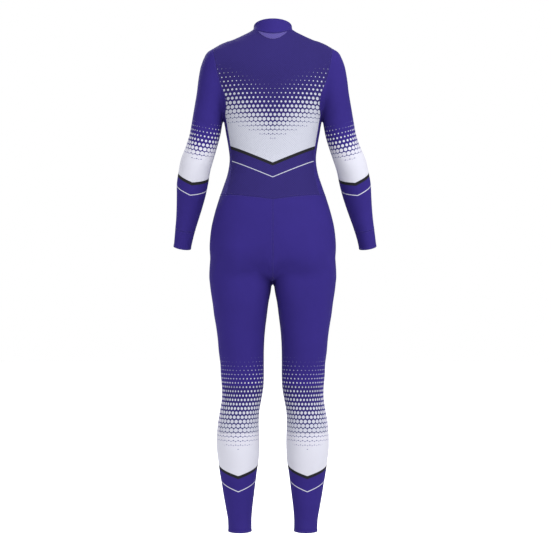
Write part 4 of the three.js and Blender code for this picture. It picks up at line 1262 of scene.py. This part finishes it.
@dataclass
class Panel:
    """One sewn piece of cloth, a grid with its seams, hem, creases, stitches and flat size, in millimetres."""

    name: str
    grid: Array
    fabric: Fabric
    row_breaks: tuple[int, ...] = ()
    column_breaks: tuple[int, ...] = ()
    sewn: tuple[str, ...] = ("bottom", "top", "left", "right")
    hem: str = ""
    limb: Limb = Limb.NONE
    datum: float = 0.5
    notch: tuple[int, int] | None = None
    mirror: bool = False
    swing: bool = False
    per_cell: int = 5
    thickness: float = 0.9
    hem_depth: float = 5.0
    lift: float = 0.0
    dip: float = 0.7
    swell: float = 0.3
    stitch_in: float = 2.3
    thread: str = "purple_thread"
    trims: tuple[bpy.types.Object, ...] = ()
    is_trim: bool = False
    edge_lines: tuple[float, ...] = (0.5, 1.1, 1.9, 3.0)
    seam_bell: float = 1.3
    swell_to: float = 6.0
    swell_over: float = 2.5
    hem_proud: float = 0.45
    hem_over: float = 0.8
    crease_free: float = 16.0
    # The knit's give when worn, across and along
    give: tuple[float, float] = (1.10, 1.04)

    def lines(self, axis: int) -> Array:
        """Returns where the grid's lines are read: even shares of each cell, and closer ones at each edge."""
        cells = self.grid.shape[axis] - 1
        size = float(along(self.grid, axis).take(-1, axis).mean()) / cells
        per_cell = self.per_cell
        even = np.arange(cells * per_cell + 1) / per_cell
        near = np.array(self.edge_lines) / size
        edges = [0.0, float(cells)]
        if self.notch is not None:
            edges.append(float(self.notch[axis]))
        close = np.concatenate([e + s * near for e in edges for s in (-1, 1)])
        close = close[(close > 0) & (close < cells)]
        gap = np.abs(even[:, None] - close[None]).min(1)
        whole = np.abs(even - np.round(even)) < 1e-9
        even = even[whole | (gap > 0.35 * (near[-1] - near[-2]))]
        return np.unique(np.round(np.concatenate([even, close]), 5))

    def fine(self) -> None:
        """Reads the grid finely, lays it on the figure, and notes where its edges and notch are."""
        rows, columns = self.lines(0), self.lines(1)
        across = refined(np.swapaxes(self.grid, 0, 1), self.column_breaks, columns)
        p = refined(np.swapaxes(across, 0, 1), self.row_breaks, rows)
        self.p = FIGURE.laid(p, 5)
        self.out = unit(FIGURE.slope(self.p))
        self.up, self.over = along(self.p, 0), along(self.p, 1)
        self.has = np.ones((len(rows) - 1, len(columns) - 1), bool)
        if self.notch is not None:
            self.row, self.column = (int(np.argmin(np.abs(v - n))) for v, n in zip((rows, columns), self.notch))
            self.has[self.row :, : self.column] = False

    def edge_distance(self, edge: str) -> Array:
        """Returns how far each point lies from an edge, along the grid's lines."""
        line = self.over if edge in ("left", "right") else self.up
        last = line[:, -1:] if edge == "right" else line[-1:]
        return line if edge in ("left", "bottom") else last - line

    def seam_distance(self) -> Array:
        """Returns how far each point lies from the nearest seam, the notch's own two among them."""
        found = np.full(self.up.shape, 1e3)
        for edge in self.sewn:
            found = np.minimum(found, self.edge_distance(edge))
        if self.notch is not None:
            aside = np.maximum(self.over - self.over[:, self.column : self.column + 1], 0)
            below = np.maximum(self.up[self.row : self.row + 1] - self.up, 0)
            found = np.minimum(found, np.hypot(aside, below))
        return found

    def shaped(self) -> Array:
        """Returns the points moved out or in by the seams, the hem and the creases.

        A seam dips in a bell across it, and its allowance swells the cloth up to some millimetres from it. A hem
        lies proud to its depth. Creases die out at the seams and the hem.
        """
        seam = self.seam_distance()
        swollen = smooth((self.swell_to - seam) / self.swell_over)
        move = self.lift + self.swell * swollen - self.dip * np.exp(-((seam / self.seam_bell) ** 2))
        free = smooth(seam / self.crease_free)
        if self.hem:
            off = self.edge_distance(self.hem)
            move = move + self.hem_proud * smooth((self.hem_depth + self.hem_over / 2 - off) / self.hem_over)
            free = free * smooth(off / self.crease_free)
        sink = sum(crease.sink(self.p) for crease in self.creases_near())
        move = move - free * sink
        return self.p + self.out * np.asarray(move)[..., None]

    def creases_near(self, reach: float = 20.0) -> list[Crease]:
        """Returns the creases that lie within reach of the panel's box."""
        low, high = self.p.reshape(-1, 3).min(0) - reach, self.p.reshape(-1, 3).max(0) + reach
        ends = [(c, np.array([c.start, c.end])) for c in CREASES]
        return [c for c, e in ends if (e.max(0) > low).all() and (e.min(0) < high).all()]

    def placed(self, p: Array) -> Array:
        """Returns points on the panel's own side, the right forearm swung a little outwards."""
        p = mirrored(p) if self.mirror else p.copy()
        if self.swing:
            p[..., 0] -= SWING_OUT * np.clip((SWING_FROM - p[..., 2]) / SWING_OVER, 0, 1)
        return p

    def stitch_lines(self, p: Array) -> list[Array]:
        """Returns the rows of stitches: one beside each seam, one where the hem is turned."""
        both = np.concatenate([p, self.out], axis=-1)
        spans: list[Array] = []
        for edge in self.sewn:
            axis, end = int(edge in ("left", "right")), edge in ("top", "right")
            spans.append(in_from(both, self.stitch_in, axis, end))
        if self.hem:
            spans.append(in_from(both, self.hem_depth - 0.8, 0, self.hem == "top"))
        if self.notch is not None:
            spans = [self.clear_of_notch(span, edge) for span, edge in zip(spans, [*self.sewn, self.hem])]
            spans.append(in_from(both[: self.row + 1, : self.column + 1], self.stitch_in, 0, True))
            spans.append(in_from(both[self.row :, self.column :], self.stitch_in, 1, False))
        return spans

    def clear_of_notch(self, span: Array, edge: str) -> Array:
        """Returns the part of a row of stitches that has cloth under it."""
        if edge == "top":
            return span[self.column :]
        return span[: self.row] if edge == "left" else span

    def build(self) -> bpy.types.Object:
        """Returns:
            The cloth's object.
        """
        self.fine()
        shaped = self.shaped()
        self.trim(shaped)
        u = self.over - self.datum_line()
        uv = np.stack([u, self.up], axis=-1).reshape(-1, 2)
        placed = self.placed(shaped)
        turn = np.cross(placed[0, 1] - placed[0, 0], placed[1, 0] - placed[0, 0])
        outward = self.out[0, 0] * ([-1, 1, 1] if self.mirror else [1, 1, 1])
        faces = grid_faces(*placed.shape[:2], self.has, turned=float(turn @ outward) < 0)
        piece = mesh_object(f"cloth_{self.name}", placed.reshape(-1, 3), faces, uv)
        piece.data.materials.append(WARDROBE.of(self.fabric.finish(self.limb)))
        piece.data.materials.append(WARDROBE.of(InnerFinish()))
        shell = piece.modifiers.new("thickness", "SOLIDIFY")
        shell.thickness, shell.offset, shell.material_offset = self.thickness * MM, -1.0, 1
        self.sew(shaped)
        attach(piece, BODY)
        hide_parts(self.name)
        return piece

    def trim(self, p: Array) -> None:
        """Moves the cut edges a hair over the seam's line."""
        if "left" in self.sewn:
            p[:, 0] -= unit(p[:, 1] - p[:, 0]) * SEAM_LAP
        if "right" in self.sewn:
            p[:, -1] -= unit(p[:, -2] - p[:, -1]) * SEAM_LAP
        if "bottom" in self.sewn:
            p[0] -= unit(p[1] - p[0]) * SEAM_LAP
        if "top" in self.sewn:
            p[-1] -= unit(p[-2] - p[-1]) * SEAM_LAP
        if self.notch is not None:
            r, c = self.row, self.column
            p[r, : c + 1] -= unit(p[r - 1, : c + 1] - p[r, : c + 1]) * SEAM_LAP
            p[r + 1 :, c] -= unit(p[r + 1 :, c + 1] - p[r + 1 :, c]) * SEAM_LAP

    def datum_line(self) -> Array:
        """Returns how far across each row its datum lies, from which the pattern is counted."""
        columns = self.over.shape[1] - 1
        at = self.datum * columns
        k = min(int(at), columns - 1)
        return mix(self.over[:, k : k + 1], self.over[:, k + 1 : k + 2], at - k)

    def sew(self, p: Array) -> None:
        spans = [s for s in self.stitch_lines(p) if len(s) > 1]
        lines = []
        for span in spans:
            place = self.placed(span[:, :3])
            out = mirrored(span[:, 3:]) if self.mirror else span[:, 3:]
            lines.append(np.concatenate([place, out], axis=-1))
        stitch_points, faces = Threads().stitched(lines)
        thread = mesh_object(f"stitches_{self.name}", stitch_points, faces)
        thread.data.materials.append(WARDROBE.of(ThreadFinish(self.thread, THREADS[self.thread])))
        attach(thread, BODY)
        if self.is_trim:
            return
        area, width, length = self.flat_size()
        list(self.trims)

    def flat_size(self) -> tuple[float, float, float]:
        """Returns the cut's flat area, width and length in metres: what is worn, less the knit's give."""
        p = self.p
        a, b = p[1:, 1:] - p[:-1, :-1], p[1:, :-1] - p[:-1, 1:]
        worn = float((np.linalg.norm(np.cross(a, b), axis=-1) / 2)[self.has].sum())
        width, length = float(self.over[:, -1].max()), float(self.up[-1].max())
        area = worn / (self.give[0] * self.give[1]) * MM * MM
        return area, width / self.give[0] * MM, length / self.give[1] * MM


@dataclass
class Body:
    """The back, the two fronts with their zip tapes, the side panels, the collar and the half moon."""

    fastener: "Zip"

    def build(self) -> None:
        """Builds the panels of the body, left and right."""
        centre, quarter = BACK_CELLS, NECK_BACK
        Panel(
            "back_panel", CUT.back, Fabric.MESH, row_breaks=(SIDE_ROWS,), limb=Limb.BACK,
            column_breaks=(quarter, centre, centre + quarter),
        ).build()
        for side in ("l", "r"):
            right = side == "r"
            Panel(
                f"front_{side}", CUT.front, Fabric.PLAIN, row_breaks=(SIDE_ROWS,), column_breaks=(SHOULDER,),
                datum=1.0, mirror=right, trims=(self.fastener.tapes[side],),
            ).build()
            Panel(f"side_panel_{side}", CUT.side, Fabric.PLAIN, mirror=right).build()
        Panel(
            "collar", CUT.collar, Fabric.PLAIN, sewn=("bottom", "left", "right"), hem="top", hem_depth=6.0,
            column_breaks=(quarter, centre, centre + quarter),
        ).build()
        Panel(
            "neck_half_moon", CUT.half_moon(), Fabric.LIGHT, thickness=0.6, lift=1.15, dip=0.45, swell=0.0,
            stitch_in=1.2, thread="pale_thread",
        ).build()


@dataclass
class Arm:
    """A sleeve and its cuff."""

    side: str

    def build(self) -> None:
        """Builds the sleeve and the cuff; the right arm hangs a little wider."""
        right = self.side == "r"
        limb = Limb.ARM_R if right else Limb.ARM_L
        shared = {"column_breaks": ARM_BREAKS, "mirror": right, "swing": right, "datum": 11 / 19}
        Panel(f"sleeve_{self.side}", CUT.sleeve, Fabric.PLAIN, limb=limb, **shared).build()
        Panel(
            f"cuff_{self.side}", CUT.cuff, Fabric.PLAIN, sewn=("top", "left", "right"), hem="bottom", **shared
        ).build()


@dataclass
class Zip:
    """The front zip, in millimetres: its tapes, teeth and stops.

    The slider and its pull tab are the part's own.
    """

    pitch: float = 2.2
    tooth_root: float = 2.1
    tooth_tip: float = 0.75
    tooth_tall: float = 1.0
    tooth_proud: float = 1.0
    # A tooth's outline: how far along its neck is, how long the neck is, and its slim and wide heights
    neck_share: float = 0.55
    neck_long: float = 0.45
    slim: float = 0.8
    wide: float = 1.2
    # A tooth's levels: the share of its outline, and the share of how far it stands out, after how deep it is sunk
    sunk: float = 0.25
    levels: tuple[tuple[float, float], ...] = ((1.0, 0.7), (0.78, 1.0))
    foot_z: float = WAIST_SEAM_Z + 6.0
    slider_gap: float = 0.8
    # How far the stops are above the slider and below the foot, and how much taller and prouder than a tooth
    top_stop_up: float = 1.9
    top_stop: tuple[float, float] = (1.0, 1.4)
    foot_stop_down: float = 1.6
    foot_stop: tuple[float, float] = (1.9, 1.5)
    slider: str = "zip_slider"
    pull: str = "zip_pull"
    tapes: dict[str, bpy.types.Object] = field(default_factory=dict)

    def build(self) -> None:
        """Builds the tapes, teeth and stops, and gives the slider and the pull tab their metal."""
        for side in ("l", "r"):
            self.tapes[side] = Panel(
                f"zip_tape_{side}", CUT.tape, Fabric.TAPE, row_breaks=(SIDE_ROWS, SIDE_ROWS + ARMHOLE_ROWS),
                sewn=("bottom", "left"), mirror=side == "r", per_cell=8, thickness=0.8, swell=0.0, dip=0.4,
                stitch_in=1.1, thread="black_thread", is_trim=True,
            ).build()
        low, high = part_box(self.slider)
        top = float(low[2]) / MM - self.slider_gap
        count = int((top - self.foot_z) // (self.pitch / 2))
        heights = self.foot_z + (np.arange(count) + 0.5) * self.pitch / 2
        teeth = [self.teeth(heights[side::2], 1.0 - 2.0 * side) for side in (0, 1)]
        self.dress("zip_teeth", teeth, ToothFinish())
        top_z, foot_z = float(high[2]) / MM + self.top_stop_up, self.foot_z - self.foot_stop_down
        ends = ((top_z, self.top_stop), (foot_z, self.foot_stop))
        stops = [self.teeth(np.array([z]), side, *size) for z, size in ends for side in (1.0, -1.0)]
        self.dress("zip_stops", stops, MetalFinish())
        for name in (self.slider, self.pull):
            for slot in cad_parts[name].material_slots:
                slot.material = WARDROBE.of(MetalFinish())

    def teeth(self, z: Array, side: float, tall: float = 1.0, proud: float = 1.0) -> tuple[Array, Array]:
        """Returns the points and faces of teeth that reach over the middle from one side.

        A tooth is an eight-cornered outline with a wider head, standing out of the tape in three levels, the last
        one smaller.

        Args:
            z: the teeth's heights.
            side: 1 for those on the wearer's left tape, -1 for the right.
            tall: how much taller than a plain tooth they are.
            proud: how much further they stand out.
        """
        root, tip, half = self.tooth_root, -self.tooth_tip, self.tooth_tall / 2 * tall
        neck = tip + self.neck_share * (root - tip)
        head, slim, wide = neck - self.neck_long, half * self.slim, half * self.wide
        outline = np.array([
            (root, -half), (root, half), (neck, slim), (head, wide), (tip, slim),
            (tip, -slim), (head, -wide), (neck, -slim),
        ])
        heart = outline.mean(0)
        levels = [(1.0, -self.sunk), *((share, self.tooth_proud * proud * rise) for share, rise in self.levels)]
        shape = [np.column_stack([heart + (outline - heart) * share, np.full(8, rise)]) for share, rise in levels]
        middle = FIGURE.exit(lambda r: points(0, -r, z), z.shape)
        out, up = unit(FIGURE.slope(middle)), unit(FIGURE.slope(middle)[:, [0, 2, 1]] * [0, -1, 1])
        across = np.array([side, 0.0, 0.0])
        aside, above, proud_of = np.split(np.stack(shape).reshape(1, -1, 3), 3, axis=-1)
        p = middle[:, None] + aside * across + above * up[:, None] + proud_of * out[:, None]
        lid = np.array([[0, 1, 2, 7], [2, 3, 6, 7], [3, 4, 5, 6]]) + 16
        faces = repeated(np.concatenate([bands(8, 2), lid]), len(z), 24)
        return p.reshape(-1, 3), faces if side > 0 else faces[:, ::-1]

    def dress(self, name: str, parts: Sequence[tuple[Array, Array]], finish: object) -> None:
        """Joins blocks into one piece and gives it its finish.

        Args:
            name: the piece's name.
            parts: each block's points and faces.
            finish: the piece's finish.
        """
        starts = np.cumsum([0, *(len(p) for p, _ in parts)])
        faces = np.concatenate([f + start for (_, f), start in zip(parts, starts)])
        piece = mesh_object(name, np.concatenate([p for p, _ in parts]), faces, smooth_faces=False)
        piece.data.materials.append(WARDROBE.of(finish))
        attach(piece, BODY)


@dataclass
class Leg:
    """Half of the trousers, the mesh behind the knee and the lower leg."""

    side: str

    def build(self) -> None:
        """Builds the leg's three panels."""
        right = self.side == "r"
        limb = Limb.LEG_R if right else Limb.LEG_L
        shared = {"column_breaks": LEG_BREAKS, "mirror": right, "limb": limb}
        Panel(f"trouser_{self.side}", CUT.trouser, Fabric.PLAIN, row_breaks=(THIGH_ROWS,), **shared).build()
        Panel(f"knee_insert_{self.side}", CUT.insert, Fabric.MESH, **shared).build()
        Panel(
            f"lower_leg_{self.side}", CUT.lower, Fabric.PLAIN, row_breaks=(CALF_ROWS,), hem="bottom",
            sewn=("top", "left", "right"), notch=(CALF_ROWS, KNEE_INSERT_CELLS), **shared,
        ).build()


@dataclass
class Studio:
    """A white room, in metres: the floor, soft lights, and the camera level with the suit's middle behind it."""

    middle_z: float = -0.657
    camera_x: float = -0.0074
    distance: float = 4.0
    frame_width: float = 1.515
    floor_z: float = -1.42
    floor_reach: tuple[float, float] = (0.02, 9.0)
    glow: float = 0.2

    def build(self) -> None:
        """Builds the stage, the lights and the camera."""
        self.floor()
        self.light("key", (-2.0, 2.5, 2.8), 240.0, 1.6)
        self.light("fill", (2.6, 3.0, 1.2), 30.0, 2.4)
        self.light("front", (1.8, -3.2, 1.6), 150.0, 1.8)
        self.world()
        self.camera()
        bpy.context.scene.view_settings.view_transform = "Standard"

    def floor(self) -> None:
        """Lays a round white floor a little below the ankles."""
        rings = np.linspace(*self.floor_reach, 24)[:, None]
        turn = np.linspace(0, 2 * math.pi, 65)[None]
        p = points(rings * np.cos(turn), rings * np.sin(turn), self.floor_z) / MM
        floor = mesh_object("floor", p.reshape(-1, 3), grid_faces(*p.shape[:2]))
        maker = Maker("pale_floor")
        grain = maker.noise(30.0)
        base = maker.mixed(grain, (0.86, 0.86, 0.86, 1.0), (0.84, 0.84, 0.84, 1.0))
        inputs = {"Base Color": base, "Roughness": 0.9, "Emission Color": (1, 1, 1, 1)}
        floor.data.materials.append(maker.finish(inputs | {"Emission Strength": self.glow}))
        floor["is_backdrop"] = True

    def light(self, name: str, at: tuple[float, float, float], power: float, size: float) -> None:
        """Hangs a soft square light that looks at the suit's middle."""
        data = bpy.data.lights.new(name, "AREA")
        data.shape, data.size, data.energy = "SQUARE", size, power
        lamp = bpy.data.objects.new(name, data)
        bpy.context.scene.collection.objects.link(lamp)
        self.aim(lamp, at)

    def aim(self, thing: bpy.types.Object, at: tuple[float, float, float]) -> None:
        """Puts a light or the camera at a place and turns it to the suit's middle."""
        thing.location = at
        way = Vector((self.camera_x, 0.0, self.middle_z)) - Vector(at)
        thing.rotation_euler = way.to_track_quat("-Z", "Y").to_euler()

    def world(self) -> None:
        """Makes the surroundings white."""
        world = bpy.data.worlds.new("white_room")
        world.use_nodes = True
        shade = world.node_tree.nodes["Background"]
        shade.inputs["Color"].default_value = (1, 1, 1, 1)
        shade.inputs["Strength"].default_value = 1.0
        bpy.context.scene.world = world

    def camera(self) -> None:
        """Puts the camera behind the suit, square to its back."""
        data = bpy.data.cameras.new("camera")
        data.sensor_fit = "HORIZONTAL"
        data.angle = 2 * math.atan(self.frame_width / 2 / self.distance)
        camera = bpy.data.objects.new("camera", data)
        bpy.context.scene.collection.objects.link(camera)
        self.aim(camera, (self.camera_x, self.distance, self.middle_z))
        bpy.context.scene.camera = camera


def main() -> None:
    """Builds the suit piece by piece."""
    logging.basicConfig(level=logging.INFO, format="%(message)s")
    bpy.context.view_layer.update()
    fastener = Zip()
    parts = {"zip": fastener, "body": Body(fastener), "arm_l": Arm("l"), "arm_r": Arm("r")}
    parts |= {"leg_l": Leg("l"), "leg_r": Leg("r"), "studio": Studio()}
    for name, part in parts.items():
        part.build()
        log.info("built %s", name)
    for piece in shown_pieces():
        log.info("piece %s", piece.name)


if __name__ == "__main__":
    main()
